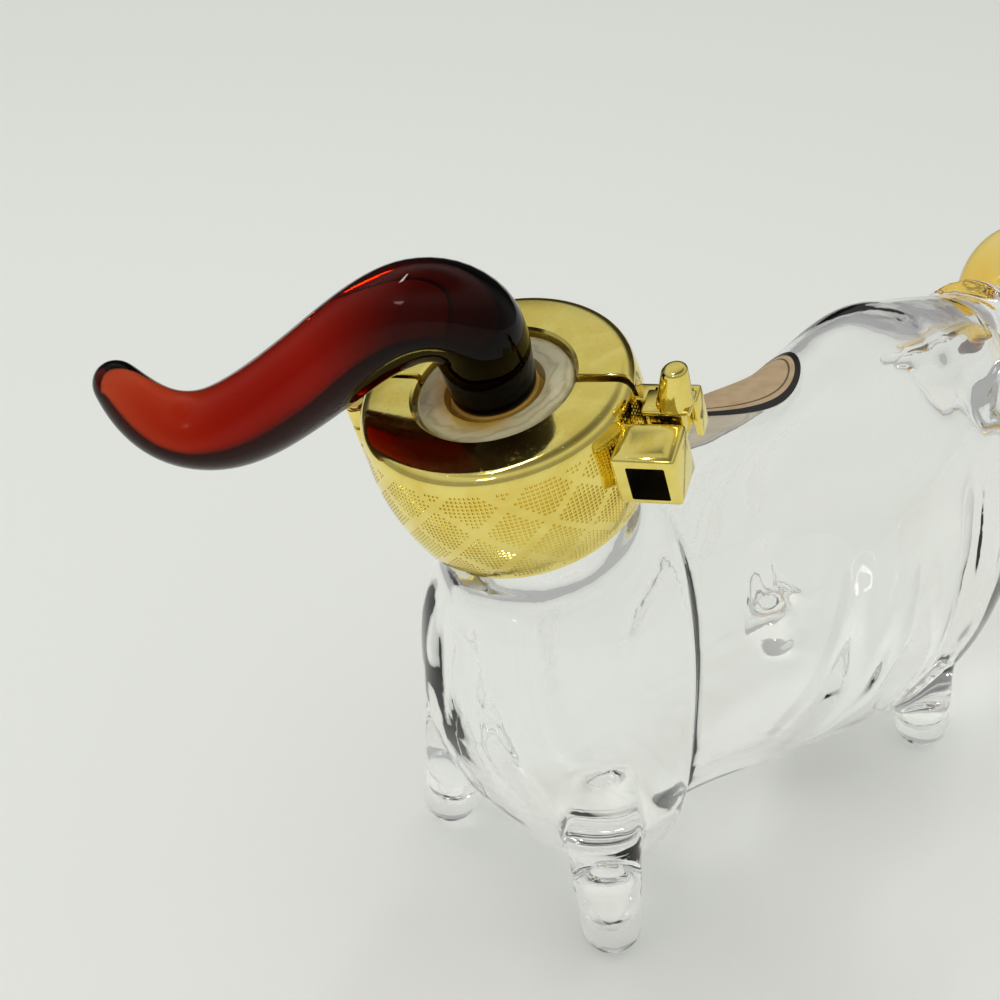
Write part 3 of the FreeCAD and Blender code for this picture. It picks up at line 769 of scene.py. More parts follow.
@dataclass(frozen=True)
class ClearGlass:
    """Hand-blown clear glass with slow waves and fine drawn lines.

    Attributes:
        tint: Its colour.
        shade: Its colour where a wave is high.
        index: Its index of refraction.
        wave_scale: Scale of the waves.
        wave_rise: Height of the waves.
        line_turn: Turn of the drawn lines about the width, in radians.
        line_scale: Scale of the drawn lines along their own axes.
        line_rise: Height of the drawn lines.
        shadow: Share of the light that gets through to the floor.
    """

    tint: Triple = (0.995, 1.0, 0.996)
    shade: Triple = (0.985, 0.995, 0.985)
    index: float = 1.46
    wave_scale: float = 38.0
    wave_rise: float = 0.5 * MM
    line_turn: float = 0.35
    line_scale: Triple = (40.0, 160.0, 160.0)
    line_rise: float = 0.04 * MM
    shadow: float = 0.85

    def build(self) -> bpy.types.Material:
        """Build the finish.

        Returns:
            The material.
        """
        graph = Graph("clear_glass")
        wave = graph.noise(graph.place, self.wave_scale, 2.0, 0.6)
        turned = graph.moved(Matrix.Rotation(self.line_turn, 4, "Y"), self.line_scale)
        drawn = graph.noise(turned, 1.0, 3.0, 1.2)
        seed = graph.noise(graph.place, 900.0, 1.0)
        soft = graph.bump(wave, self.wave_rise, 0.22)
        lined = graph.bump(drawn, self.line_rise, 0.18, soft)
        graph.set(
            Base_Color=graph.blend(wave.span(0.35, 0.7), self.tint, self.shade),
            Roughness=seed.span(0.72, 0.8) * 0.03,
            IOR=self.index,
            Transmission_Weight=1.0,
            Normal=lined,
        )
        graph.let_through(self.shadow, (1.0, 1.0, 1.0))
        return graph.material


@dataclass(frozen=True)
class LipGlass:
    """The cloudy cream glass of the lip, with striae swirled round the neck, and painted amber light
    beside the stopper.

    Attributes:
        milk: Colour of the cloudy glass.
        line: Colour along its striae.
        painted_amber_glow: Colour of the painted amber light from the stopper, beside it at the bore.
        painted_glow_from: Radius up to which the painted amber light is full.
        painted_glow_to: Radius at which the painted amber light has gone.
        pitch: Striae per metre of radius, as a turn in radians.
    """

    milk: Triple = (0.86, 0.78, 0.50)
    line: Triple = (0.55, 0.48, 0.26)
    painted_amber_glow: Triple = (0.80, 0.46, 0.04)
    painted_glow_from: float = 9.8 * MM
    painted_glow_to: float = 14.2 * MM
    pitch: float = 2300.0

    def build(self) -> bpy.types.Material:
        """Build the finish.

        Returns:
            The material.
        """
        graph = Graph("lip_glass")
        local = graph.moved(NECK.matrix())
        across, along, _ = graph.parts(local)
        radius = (across * across + along * along) ** 0.5
        swirl = graph.noise(local, 55.0, 3.0, 1.6)
        wave = radius * self.pitch + swirl * 24.0 + across * 260.0
        lines = (wave.sine() * 0.5 + 0.5) ** 3.0
        cloud = graph.noise(local, 130.0, 3.0, 1.2)
        # Painted amber light from the stopper, on one side of the bore, beside the stopper.
        beside = (across * -1.0 - along * 0.6).span(-5.0 * MM, 6.0 * MM)
        painted_glow_share = (1.0 - radius.span(self.painted_glow_from, self.painted_glow_to)) * beside
        cloudy = graph.blend(lines * 0.65 + cloud.span(0.45, 0.75) * 0.45, self.milk, self.line)
        graph.set(
            Base_Color=graph.blend(painted_glow_share, cloudy, self.painted_amber_glow),
            Roughness=0.04 + lines * 0.08,
            IOR=1.46,
            Transmission_Weight=0.55,
            Subsurface_Weight=0.35,
            Subsurface_Radius=(0.004, 0.004, 0.003),
            Coat_Weight=0.5,
            Coat_Roughness=0.04,
            Normal=graph.bump(lines, 0.10 * MM, 0.5),
        )
        return graph.material


@dataclass(frozen=True)
class AmberGlass:
    """Amber glass whose colour deepens with its thickness, with a painted dark reflection at its edges
    and painted shade near the neck's mouth.

    Attributes:
        name: The material's name.
        depth: Colour that the glass lets through.
        density: How fast it deepens, per metre.
        painted_edge_shade: Colour of the painted dark reflection where the glass is seen edge-on.
        painted_edge_from: Share of the turn away from the eye where the painted dark reflection starts.
        under: Share of the painted dark edge laid as painted shade along the lower, downward-facing
            edge.
        index: Its index of refraction.
        gleam: Share of each colour that its surface reflects.
        painted_root_shade_from: Distance from the neck's mouth up to which painted shade darkens the
            glass.
        painted_root_shade_to: Distance at which the painted shade has gone.
        shadow: Share of the light that gets through to what it shades.
    """

    name: str
    depth: Triple
    density: float
    painted_edge_shade: Triple
    painted_edge_from: float
    under: float = 0.0
    index: float = 1.34
    gleam: Triple = (0.50, 0.46, 0.42)
    painted_root_shade_from: float = 20.0 * MM
    painted_root_shade_to: float = 36.0 * MM
    shadow: float = 0.4

    def build(self) -> bpy.types.Material:
        """Build the finish.

        Returns:
            The material.
        """
        graph = Graph(self.name)
        wave = graph.noise(graph.place, 70.0, 2.0, 0.5)
        cord = graph.noise(graph.place, 340.0, 2.0, 1.5)
        turned = graph.read("ShaderNodeLayerWeight", "Facing")
        skin = graph.node("ShaderNodeNewGeometry", {}, {})
        lift = graph.parts(Value(graph, skin.outputs["Normal"]))[2]
        outside = 1.0 - Value(graph, skin.outputs["Backfacing"])
        # Painted shade along the lower, downward-facing outer edge, and a painted dark reflection where
        # the glass turns edge-on.
        painted_low_edge_shade = turned.span(0.14, 0.26) * (1.0 - lift.span(0.0, 0.2)) * outside
        painted_edge_shade = turned.span(self.painted_edge_from, 1.0) + painted_low_edge_shade * self.under
        # Painted shade: the glass is darkened near the neck's mouth, where the tail rises out of the
        # collar.
        across, along, up = graph.parts(graph.moved(NECK.matrix()))
        reach = (across * across + along * along + up * up) ** 0.5
        root = 1.0 - reach.span(self.painted_root_shade_from, self.painted_root_shade_to)
        graph.set(
            # Base colour: clear, darkened towards the painted edge colour by the painted dark edges and
            # the painted root shade.
            Base_Color=graph.blend((painted_edge_shade + root * 0.97).at_most(1.0), (1.0, 0.97, 0.93), self.painted_edge_shade),
            Roughness=cord.span(0.62, 0.85) * 0.05,
            IOR=self.index,
            Specular_Tint=self.gleam,
            Transmission_Weight=1.0,
            Normal=graph.bump(cord, 0.03 * MM, 0.3, graph.bump(wave, 0.4 * MM, 0.3)),
        )
        graph.absorb(self.depth, self.density)
        graph.let_through(self.shadow, self.depth)
        return graph.material


@dataclass(frozen=True)
class GoldPlate:
    """Bright lemon-gold plating over a casting.

    Attributes:
        name: The material's name.
        bright: Colour of clean plate.
        worn: Colour of duller places.
        gloss: Roughness of clean plate.
    """

    name: str = "gold_plate"
    bright: Triple = (0.92, 0.77, 0.22)
    worn: Triple = (0.83, 0.65, 0.14)
    gloss: float = 0.06

    def build(self) -> bpy.types.Material:
        """Build the finish.

        Returns:
            The material.
        """
        graph = Graph(self.name)
        cloud = graph.noise(graph.place, 120.0, 4.0, 0.6)
        peel = graph.noise(graph.place, 750.0, 2.0)
        pits = graph.noise(graph.place, 2400.0, 1.0).span(0.70, 0.76)
        normal = graph.bump(peel, 0.03 * MM, 0.35)
        graph.set(
            Base_Color=graph.blend(cloud.span(0.35, 0.72), self.bright, self.worn),
            Metallic=1.0,
            Roughness=self.gloss + cloud * 0.06 + pits * 0.12,
            Normal=graph.bump(pits, -0.02 * MM, 0.5, normal),
        )
        return graph.material


@dataclass(frozen=True)
class PaleRubber:
    """Pale soft packing with a fine dry grain.

    Attributes:
        name: The material's name.
        colour: Its colour.
        shade: Its colour in darker clouds.
    """

    name: str
    colour: Triple
    shade: Triple

    def build(self) -> bpy.types.Material:
        """Build the finish.

        Returns:
            The material.
        """
        graph = Graph(self.name)
        cloud = graph.noise(graph.place, 180.0, 3.0)
        grain = graph.noise(graph.place, 2600.0, 2.0)
        graph.set(
            Base_Color=graph.blend(cloud.span(0.3, 0.7), self.colour, self.shade),
            Roughness=0.42 + grain * 0.18,
            Subsurface_Weight=0.15,
            Subsurface_Radius=(0.004, 0.004, 0.003),
            Normal=graph.bump(grain, 0.04 * MM, 0.4),
        )
        return graph.material


@dataclass(frozen=True)
class LabelPrint:
    """Matt tan film with a black border, an inner rule, a row of dashes and faint fibres.

    Attributes:
        half_length: Half the oval's length.
        half_height: Half the oval's height.
        field_colour: Colour of the film.
        shade: Colour of its darker clouds.
        ink: Colour of the print.
        border_from: Share of the oval where the border starts.
        rule_from: Share of the oval where the rule starts.
        rule_to: Share of the oval where the rule ends.
        row_half: Half the height of the row of dashes.
        row_to: Share of the oval that the row reaches.
        pitch: Dashes per metre, as a turn in radians.
    """

    half_length: float
    half_height: float
    field_colour: Triple = (0.50, 0.36, 0.21)
    shade: Triple = (0.43, 0.30, 0.17)
    ink: Triple = (0.012, 0.010, 0.009)
    border_from: float = 0.925
    rule_from: float = 0.845
    rule_to: float = 0.868
    row_half: float = 1.4 * MM
    row_to: float = 0.60
    pitch: float = 3600.0

    def build(self, place: Matrix) -> bpy.types.Material:
        """Build the finish.

        Args:
            place: The label's drawing frame in the row.

        Returns:
            The material.
        """
        graph = Graph("label_print")
        local = graph.moved(place)
        along, across, _ = graph.parts(local)
        oval = (along / self.half_length) ** 2.0 + (across / self.half_height) ** 2.0
        reach = oval ** 0.5
        fibre = graph.noise(graph.moved(place, (300.0, 1500.0, 300.0)), 1.0, 4.0, 0.4)
        mottle = graph.noise(graph.place, 260.0, 3.0)
        border = reach.over(self.border_from)
        rule = reach.over(self.rule_from) * (1.0 - reach.over(self.rule_to))
        dashes = (along * self.pitch).sine().over(0.25)
        in_row = (1.0 - (across * across).over(self.row_half ** 2)) * (1.0 - reach.over(self.row_to))
        ink = (border + rule * 0.75 + dashes * in_row * 0.35).at_most(1.0)
        paper = graph.blend(mottle.span(0.35, 0.7), self.field_colour, self.shade)
        graph.set(
            Base_Color=graph.blend(ink, paper, self.ink),
            Roughness=0.62 - ink * 0.32 + fibre * 0.1,
            Normal=graph.bump(fibre, 0.03 * MM, 0.35),
        )
        return graph.material


@dataclass(frozen=True)
class Fold:
    """A soft ridge or groove in the blown skin.

    Attributes:
        line: Points along it in the drawing frame, in millimetres.
        width: Its half width in millimetres.
        rise: Its height in millimetres, below zero for a groove.
        both_sides: Whether the other flank has it too.
    """

    line: tuple[Triple, ...]
    width: float
    rise: float
    both_sides: bool = True


FOLDS = (
    Fold(((82, -28, 66), (77, -30, 52), (70, -30, 38), (60, -28, 27)), 2.2, -0.7),
    Fold(((96, -31, 60), (93, -32, 46), (86, -32, 33), (74, -30, 24)), 2.2, 0.8),
    Fold(((115, -33, 58), (114, -34, 44), (107, -33, 32)), 2.4, -0.6),
    Fold(((134, -30, 74), (133, -32, 56), (129, -32, 42)), 2.4, 0.7),
    Fold(
        ((37, -17, 95), (52, -15, 96), (67, -12, 98), (84, -9, 100), (99, -10, 103), (118, -13, 105)),
        4.6, -0.6, False,
    ),
    Fold(((57, -22, 82), (59, -25, 73), (68, -27, 66), (75, -27, 69)), 2.6, -0.8),
    Fold(((48, -29, 62), (72, -31, 56)), 6.0, 0.6),
    Fold(((-8, -8, 80), (-10, -7, 66), (-8, -9, 52), (0, -14, 36)), 4.0, 0.8),
    Fold(((148, -24, 80), (152, -23, 62), (150, -21, 46)), 4.0, -1.0),
)


@dataclass(frozen=True)
class Bubble:
    """The air blown into a leg above its thick foot.

    Attributes:
        middle: Its middle on the left side, in the drawing frame, in millimetres.
        radius: Its radius in millimetres.
        half_height: Half its height in millimetres.
        flare: How much wider its upper half is.
        splay: Turn of its axis in radians, as the leg leans.
    """

    middle: Triple
    radius: float
    half_height: float
    flare: float
    splay: float


BUBBLES = (
    Bubble((10.0, 26.0, 15.2), 4.7, 9.4, 1.12, 0.172),
    Bubble((117.5, 26.9, 9.0), 4.7, 4.0, 1.04, 0.172),
)


@dataclass
class GlassBull:
    """The blown body with its head, legs, ears and the neck's root, all one glass.

    Attributes:
        voxel: Grain of the fused skin.
        join_depth: Depth under the mouth where the lip's own piece ends.
        overlap: How far the pieces sink into each other before they fuse.
        nodes: The CAD nodes that it replaces.
        core_height: Height of the body's long middle line, in millimetres.
        fold_reach: Widths beyond which a fold has no effect.
    """

    voxel: float = 1.21 * MM
    join_depth: float = 24.5 * MM
    overlap: float = 1.2 * MM
    nodes: tuple[str, ...] = (
        "body_shell", "head", "front_left_leg", "rear_left_leg",
        "front_right_leg", "rear_right_leg", "left_ear", "right_ear",
    )
    core_height: float = 55.0
    fold_reach: float = 2.5

    def build(self) -> bpy.types.Object:
        """Fuse and soften the glass.

        Returns:
            The glass, still without its finish.
        """
        copies = [self.sunk(node) for node in self.nodes]
        root = Bench.copy_of("neck_finish", "blown_root")
        Bench.trim(root, NECK.mouth - NECK.axis * (self.join_depth - self.overlap), NECK.axis)
        with Bench.editing(root):
            bpy.ops.transform.translate(value=NECK.axis * -self.overlap)
        bull = Bench.join(copies + [root])
        bull.name = "blown_bull"
        bull.data.name = "blown_bull"
        Bench.modify(bull, "REMESH", mode="VOXEL", voxel_size=self.voxel, adaptivity=0.0)
        Bench.modify(bull, "SMOOTH", factor=0.5, iterations=8)
        self.raise_folds(bull)
        Bench.modify(bull, "SMOOTH", factor=0.5, iterations=3)
        bubbles = [self.bubble(bubble, side) for bubble in BUBBLES for side in (1.0, -1.0)]
        bull = Bench.join([bull, *bubbles])
        Bench.settle(bull, Matrix.Identity(4), 180.0)
        return bull

    @staticmethod
    def bubble(bubble: Bubble, side: float) -> bpy.types.Object:
        """Return the skin of the air blown into one leg, facing inward.

        Args:
            bubble: The bubble's place and size.
            side: Plus one for the left leg, minus one for the right one.

        Returns:
            The bubble's skin.
        """
        Bench.clear()
        bpy.ops.mesh.primitive_uv_sphere_add(segments=40, ring_count=28, radius=1.0)
        skin = Bench.named("blown_bubble")
        with Bench.editing(skin):
            Bench.pick(skin, Pick.FACES, lambda face: face.calc_center_median().z > 0.1)
            wider = (bubble.flare, bubble.flare, 1.0)
            bpy.ops.transform.resize(value=wider, center_override=(0.0, 0.0, 0.0))
            bpy.ops.mesh.select_all(action="SELECT")
            bpy.ops.mesh.vertices_smooth(factor=0.5, repeat=6)
            bpy.ops.mesh.flip_normals()
        turn = Matrix.Rotation(side * bubble.splay, 4, "X")
        radius = bubble.radius * MM
        size = Matrix.Diagonal((radius, radius, bubble.half_height * MM, 1.0))
        x, y, z = bubble.middle
        Bench.settle(skin, Matrix.Translation(row_point(x, side * y, z)) @ turn @ size, 180.0)
        return skin

    def sunk(self, node: str) -> bpy.types.Object:
        """Return a copy of a node, sunk a little into the body so that the glass runs through.

        Args:
            node: The node's name.

        Returns:
            The copy.
        """
        copy = Bench.copy_of(node, "blown_" + node)
        tall = max(vertex.co.z for vertex in copy.data.vertices)
        with Bench.editing(copy):
            if node.endswith("leg"):
                stretch = 1.0 + self.overlap / tall
                bpy.ops.transform.resize(value=(1.0, 1.0, stretch), center_override=(0.0, 0.0, 0.0))
            elif node != "body_shell":
                bpy.ops.transform.translate(value=(-self.overlap, 0.0, 0.0))
        return copy

    def raise_folds(self, bull: bpy.types.Object) -> None:
        """Push the folds of the blown skin in or out along its normals.

        Args:
            bull: The fused glass.
        """
        core = row_point(0.0, 0.0, self.core_height)
        moves: dict[int, Vector] = {}
        for fold in FOLDS:
            for flip in ((1.0, -1.0) if fold.both_sides else (1.0,)):
                points = [row_point(x, y * flip, z) for x, y, z in fold.line]
                self.follow(bull, points, fold, core, moves)
        for index, move in moves.items():
            bull.data.vertices[index].co += move
        bull.data.update()

    def follow(
        self, bull: bpy.types.Object, points: Sequence[Vector], fold: Fold, core: Vector,
        moves: dict[int, Vector],
    ) -> None:
        """Add one fold's moves of the outer skin.

        Args:
            bull: The fused glass.
            points: The fold's line in the row's frame.
            fold: Its width and rise.
            core: A point on the body's long middle line.
            moves: Moves by vertex, added to.
        """
        width = fold.width * MM
        reach = self.fold_reach * width
        low = Vector([min(p[i] for p in points) - reach for i in range(3)])
        high = Vector([max(p[i] for p in points) + reach for i in range(3)])
        for vertex in bull.data.vertices:
            place = vertex.co
            if any(place[i] < low[i] or place[i] > high[i] for i in range(3)):
                continue
            outward = Vector((0.0, place.y - core.y, place.z - core.z))
            if vertex.normal.dot(outward) <= 0.0:
                continue
            away, share = self.distance(place, points)
            if away > reach:
                continue
            fade = math.sin(math.pi * min(max(share, 0.0), 1.0)) ** 0.5
            rise = fold.rise * MM * fade * math.exp(-((away / width) ** 2))
            moves[vertex.index] = moves.get(vertex.index, Vector()) + vertex.normal * rise

    @staticmethod
    def distance(place: Vector, points: Sequence[Vector]) -> tuple[float, float]:
        """Measure a place against a line of points.

        Args:
            place: The place.
            points: The line's points.

        Returns:
            The distance to the line, and the share of the line where it is nearest.
        """
        best, where = 1e9, 0.0
        for index, (start, end) in enumerate(zip(points, points[1:])):
            run = end - start
            share = min(max((place - start).dot(run) / run.length_squared, 0.0), 1.0)
            away = (place - start - run * share).length
            if away < best:
                best, where = away, (index + share) / (len(points) - 1)
        return best, where


@dataclass
class NeckFinish:
    """The neck's lip, bead and waist, down to where the collar hides its join.

    Attributes:
        bore: Radius of the bore.
        lip: Radius of the lip.
        bead: Radius of the bead that the collar holds.
        waist: Radius of the waist under the bead.
        foot_depth: Depth of the join under the mouth.
        steps: Steps of its full turn.
    """

    bore: float = 9.3
    lip: float = 15.2
    bead: float = 18.5
    waist: float = 15.0
    foot_depth: float = 24.3
    steps: int = 96

    def build(self) -> bpy.types.Object:
        """Turn the neck finish.

        Returns:
            The settled piece, still without its finish.
        """
        profile = [
            (self.bore, -self.foot_depth), (self.waist + 0.6, -self.foot_depth), (self.waist, -22.5),
            (self.waist, -13.5), (self.waist + 0.6, -12.2), (self.bead - 0.5, -10.2), (self.bead, -9.0),
            (self.bead, -6.4), (self.bead - 0.6, -5.2), (self.bead - 1.4, -4.7), (self.lip + 0.3, -3.6),
            (self.lip, -3.0), (self.lip, -1.9), (self.lip - 0.35, -1.15), (self.lip - 1.0, -0.8),
            (self.bore + 1.6, -0.85), (self.bore + 0.5, -1.1), (self.bore, -2.0),
        ]
        piece = Bench.lathe("neck_glass", profile, self.steps)
        Bench.settle(piece, NECK.matrix(), 40.0)
        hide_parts("neck_finish")
        return piece


@dataclass
class ClampCollar:
    """The two plated halves with their embossed wall, hinge and latch housings.

    Attributes:
        radius: Radius of the wall under the top edge.
        foot_radius: Radius of the wall at its foot.
        height: Height of the collar.
        bulge: How far the wall swells at half its height.
        wall: Thickness of the wall.
        edge: Radius of the rounded top edge.
        opening: Radius of the hole in the top.
        parting: Place of the parting along the width.
        gap: Width of the parting.
        cells_high: Rows of stippled cells.
        cells_round: Stippled cells in a full turn.
        dent: Depth of a dent.
        diamond: Pitch of the diamonds.
        slope: Slope of the plain bands between them.
        band_share: Share of the pitch that a plain band takes.
        field_top: Depth where the stippled field starts.
        field_foot: Plain strip at the foot.
        yawn: How far the parting opens towards the latch.
        hinge: Place of the hinge pin.
        knuckle_radius: Radius of a hinge knuckle.
        knuckle_height: Height of a hinge knuckle.
    """

    radius: float = 26.6
    foot_radius: float = 23.5
    height: float = 28.4
    bulge: float = 1.8
    wall: float = 1.8
    edge: float = 2.6
    opening: float = 15.8
    parting: float = 1.2
    gap: float = 0.8
    cells_high: int = 30
    cells_round: int = 192
    dent: float = 0.24
    diamond: float = 13.5
    slope: float = 1.05
    band_share: float = 0.17
    field_top: float = 3.4
    field_foot: float = 0.8
    yawn: float = 1.1
    hinge: tuple[float, float] = (-29.0, -2.5)
    knuckle_radius: float = 2.2
    knuckle_height: float = 4.4

    def wall_point(self, share: float, inset: float) -> tuple[float, float]:
        """Find a point of the bulged wall.

        Args:
            share: Share of the way from under the top edge to the foot.
            inset: Depth under the outer face.

        Returns:
            Its radius and height.
        """
        low = share * (self.height - self.edge)
        straight = self.radius + (self.foot_radius - self.radius) * share
        return straight + self.bulge * 4.0 * share * (1.0 - share) - inset, -self.edge - low

    def profile(self) -> list[tuple[float, float]]:
        """Draw the closed profile of the ring.

        Returns:
            Pairs of radius and height in millimetres.
        """
        flat = self.radius - self.edge
        points = [(self.opening, -0.5), (self.opening + 0.5, 0.0), (flat - 3.0, 0.0)]
        for step in range(7):
            turn = math.radians(15.0 * step)
            points.append((flat + self.edge * math.sin(turn), self.edge * (math.cos(turn) - 1.0)))
        rows = range(1, self.cells_high + 1)
        points.extend(self.wall_point(step / self.cells_high, 0.0) for step in rows)
        points.extend(self.wall_point(1.0 - step / 6.0, self.wall) for step in range(7))
        points.append((self.opening, -self.edge))
        return points

    def in_field(self, centre: Vector) -> bool:
        """Tell whether a place on the wall is stippled.

        Args:
            centre: The place, in the upright drawing frame.

        Returns:
            Whether it lies in a diamond and not on a plain band.
        """
        depth = -centre.z / MM
        if not self.field_top < depth < self.height - self.field_foot:
            return False
        arc = math.atan2(centre.y, centre.x) * self.radius
        first = ((arc + depth * self.slope) / self.diamond) % 1.0
        second = ((arc - depth * self.slope) / self.diamond) % 1.0
        return first > self.band_share and second > self.band_share

    def half(self, side: Side) -> bpy.types.Object:
        """Return one embossed half.

        Args:
            side: Which half.

        Returns:
            The half in its upright drawing frame.
        """
        name = "rear_shell" if side is Side.REAR else "front_shell"
        piece = Bench.lathe(name, self.profile(), self.cells_round)
        edge = Vector((0.0, (self.parting + side.value * self.gap / 2.0) * MM, 0.0))
        normal = Vector((0.0, -side.value, 0.0))
        if side is Side.FRONT:
            edge = edge + Vector((-self.radius * MM, 0.0, 0.0))
            normal = Vector((self.yawn / (2.0 * self.radius), -1.0, 0.0)).normalized()
        Bench.trim(piece, edge, normal)
        with Bench.editing(piece):
            Bench.pick(
                piece, Pick.EDGES,
                lambda e: all(abs((v.co - edge).dot(normal)) < ON_PLANE for v in e.verts)
                and len(e.link_faces) == 2 and e.calc_face_angle() > 0.6,
            )
            bpy.ops.mesh.bevel(offset=0.35 * MM, segments=2, affect="EDGES")
        self.stipple(piece)
        return piece

    def stipple(self, piece: bpy.types.Object) -> None:
        """Press the square dents of the diamonds into a half's wall.

        Args:
            piece: The half, in its upright drawing frame.
        """
        inner = (self.foot_radius - self.wall * 0.5) * MM

        def on_wall(face: bmesh.types.BMFace) -> bool:
            """Tell whether a face is a stippled cell of the outer wall.

            Args:
                face: The face.

            Returns:
                Whether it is one.
            """
            centre = face.calc_center_median()
            outward = Vector((centre.x, centre.y, 0.0))
            return (
                len(face.verts) == 4 and outward.length > inner and face.normal.dot(outward) > 0.0
                and face.calc_area() > 0.4 * MM * MM and self.in_field(centre)
            )

        with Bench.editing(piece):
            count = Bench.pick(piece, Pick.FACES, on_wall)
            bpy.ops.mesh.inset(thickness=0.17 * MM, depth=0.0, use_individual=True)
            bpy.ops.mesh.inset(thickness=0.12 * MM, depth=-self.dent * MM, use_individual=True)
        LOG.info("%s: %d dents", piece.name, count)

    def knuckle(self, name: str, foot: float) -> bpy.types.Object:
        """Return one hinge knuckle that stands at a height."""
        low, high = (*self.hinge, foot), (*self.hinge, foot + self.knuckle_height)
        return Bench.barrel(name, self.knuckle_radius, low, high, 0.35)

    def rear_fittings(self) -> list[bpy.types.Object]:
        """Model the latch box and the two outer knuckles of the rear half.

        Returns:
            The pieces in the upright drawing frame.
        """
        box = Bench.cube("latch_box", (25.4, -14.4, -16.0), (37.4, -4.2, -5.0), 0.9)
        with Bench.editing(box):
            Bench.pick(box, Pick.FACES, lambda face: face.normal.z > 0.99)
            bpy.ops.mesh.inset(thickness=0.7 * MM, depth=0.0)
            bpy.ops.mesh.inset(thickness=1.3 * MM, depth=-0.35 * MM)
        Bench.carve(box, Bench.cube("box_window", (28.2, -16.0, -14.6), (35.4, -5.8, -6.8), 0.35))
        Bench.carve(box, Bench.cube("box_way", (28.2, -6.5, -14.6), (35.4, -3.0, -8.2), 0.0))
        pieces = [box]
        for index, foot in ((0, -8.4), (2, -18.0)):
            top = foot + self.knuckle_height
            pieces.append(self.knuckle("rear_knuckle_%d" % index, foot))
            web = Bench.cube("rear_web_%d" % index, (-29.0, -4.4, foot), (-24.6, 0.8, top), 0.3)
            pieces.append(web)
        return pieces

    def front_fittings(self) -> list[bpy.types.Object]:
        """Model the latch lug and the middle knuckle of the front half.

        Returns:
            The pieces in the upright drawing frame.
        """
        lug = Bench.cube("latch_lug", (24.9, 1.6, -14.0), (37.8, 6.4, -5.0), 0.6)
        Bench.carve(lug, Bench.cube("lug_slot", (29.4, 0.5, -16.0), (36.6, 5.1, -3.0), 0.0))
        foot, top = -13.2, -13.2 + self.knuckle_height
        knuckle = self.knuckle("front_knuckle", foot)
        rise = Bench.cube("front_rise", (-31.2, -2.5, foot), (-28.4, 3.5, top), 0.3)
        arm = Bench.cube("front_arm", (-30.6, 1.6, foot), (-24.6, 3.5, top), 0.3)
        return [lug, knuckle, rise, arm]

    def paint_window_shade(self, box: bpy.types.Object, window_shade: bpy.types.Material) -> None:
        """Paint shade on the walls of the latch window, as a near-black metal in place of the plate.

        Args:
            box: The settled latch box.
            window_shade: The near-black finish painted as shade in the window.
        """
        box.data.materials.append(window_shade)
        back = NECK.matrix().inverted()
        for face in box.data.polygons:
            x, y, z = back @ face.center / MM
            inside = 28.0 < x < 35.6 and -14.3 < y < -4.4 and -14.8 < z < -6.6
            face.material_index = 1 if inside else 0

    def build(self, plate: bpy.types.Material, window_shade: bpy.types.Material) -> None:
        """Model both halves, settle them on the neck and dress them.

        Args:
            plate: The plated finish.
            window_shade: The near-black finish painted as shade in the latch window.
        """
        halves = (
            (Side.REAR, Rider.BOTTLE, "collar_rear_half", self.rear_fittings),
            (Side.FRONT, Rider.GATE, "collar_front_half", self.front_fittings),
        )
        for side, rider, node, fittings in halves:
            shell = self.half(side)
            for piece in [shell, *fittings()]:
                Bench.settle(piece, NECK.matrix(), 32.0)
                Bench.dress(piece, rider, plate, "gold_plate")
                if piece.name == "latch_box":
                    self.paint_window_shade(piece, window_shade)
            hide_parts(node)


@dataclass
class LatchLever:
    """The plated latch lever: hub block, tapered thumb peg, tongue and tooth.

    Attributes:
        inner: Distance of the lever's near side from the neck's axis.
        outer: Distance of its far side.
        peg_at: Distance of the peg's middle.
        peg_low: Height of the peg's foot.
        peg_high: Height of the peg's tip.
        peg_foot: Radius of the peg's foot.
        peg_tip: Radius of the peg's tip.
        peg_lean: How far the tip leans outward.
        peg_round: Radius of the tip's edge.
    """

    inner: float = 29.7
    outer: float = 36.3
    peg_at: float = 34.4
    peg_low: float = -3.9
    peg_high: float = 4.4
    peg_foot: float = 3.5
    peg_tip: float = 2.35
    peg_lean: float = 1.5
    peg_round: float = 0.9

    def build(self, plate: bpy.types.Material) -> None:
        """Model the lever, settle it and dress it.

        Args:
            plate: The plated finish.
        """
        body = Bench.cube("latch_body", (self.inner, -2.4, -10.6), (self.outer, 3.4, -4.6), 0.5)
        rest = Bench.cube("thumb_rest", (28.7, -2.9, -4.9), (37.9, 3.2, -3.6), 0.45)
        hub = Bench.barrel("latch_hub", 1.9, (self.inner, 3.0, -9.5), (self.outer, 3.0, -9.5), 0.2)
        tongue = Bench.cube("latch_tongue", (30.0, -8.8, -11.3), (33.6, 3.0, -9.7), 0.25)
        tooth = Bench.cube("latch_tooth", (30.0, -8.8, -10.2), (33.6, -6.4, -8.6), 0.25)
        peg = self.peg()
        for piece in (body, rest, hub, tongue, tooth, peg):
            Bench.settle(piece, NECK.matrix(), 35.0)
            Bench.dress(piece, Rider.LATCH, plate, "gold_plate")
        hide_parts("latch_lever")

    def peg(self) -> bpy.types.Object:
        """Model the tapered thumb peg, leaning outward, with its rounded tip.

        Returns:
            The peg in the upright drawing frame.
        """
        Bench.clear()
        foot = Vector((self.peg_at, 0.0, self.peg_low)) * MM
        top = Vector((self.peg_at, 0.0, self.peg_high)) * MM
        bpy.ops.mesh.primitive_cone_add(
            vertices=48, radius1=self.peg_foot * MM, radius2=self.peg_tip * MM,
            depth=(top - foot).length, location=(foot + top) / 2.0,
        )
        piece = Bench.named("thumb_peg")
        bpy.ops.object.transform_apply(location=True, rotation=True, scale=True)
        with Bench.editing(piece):
            Bench.pick(piece, Pick.EDGES, lambda e: all(v.co.z > top.z - ON_PLANE for v in e.verts))
            bpy.ops.transform.translate(value=(self.peg_lean * MM, 0.0, 0.0))
            bpy.ops.mesh.bevel(offset=self.peg_round * MM, segments=6, affect="EDGES")
        return piece


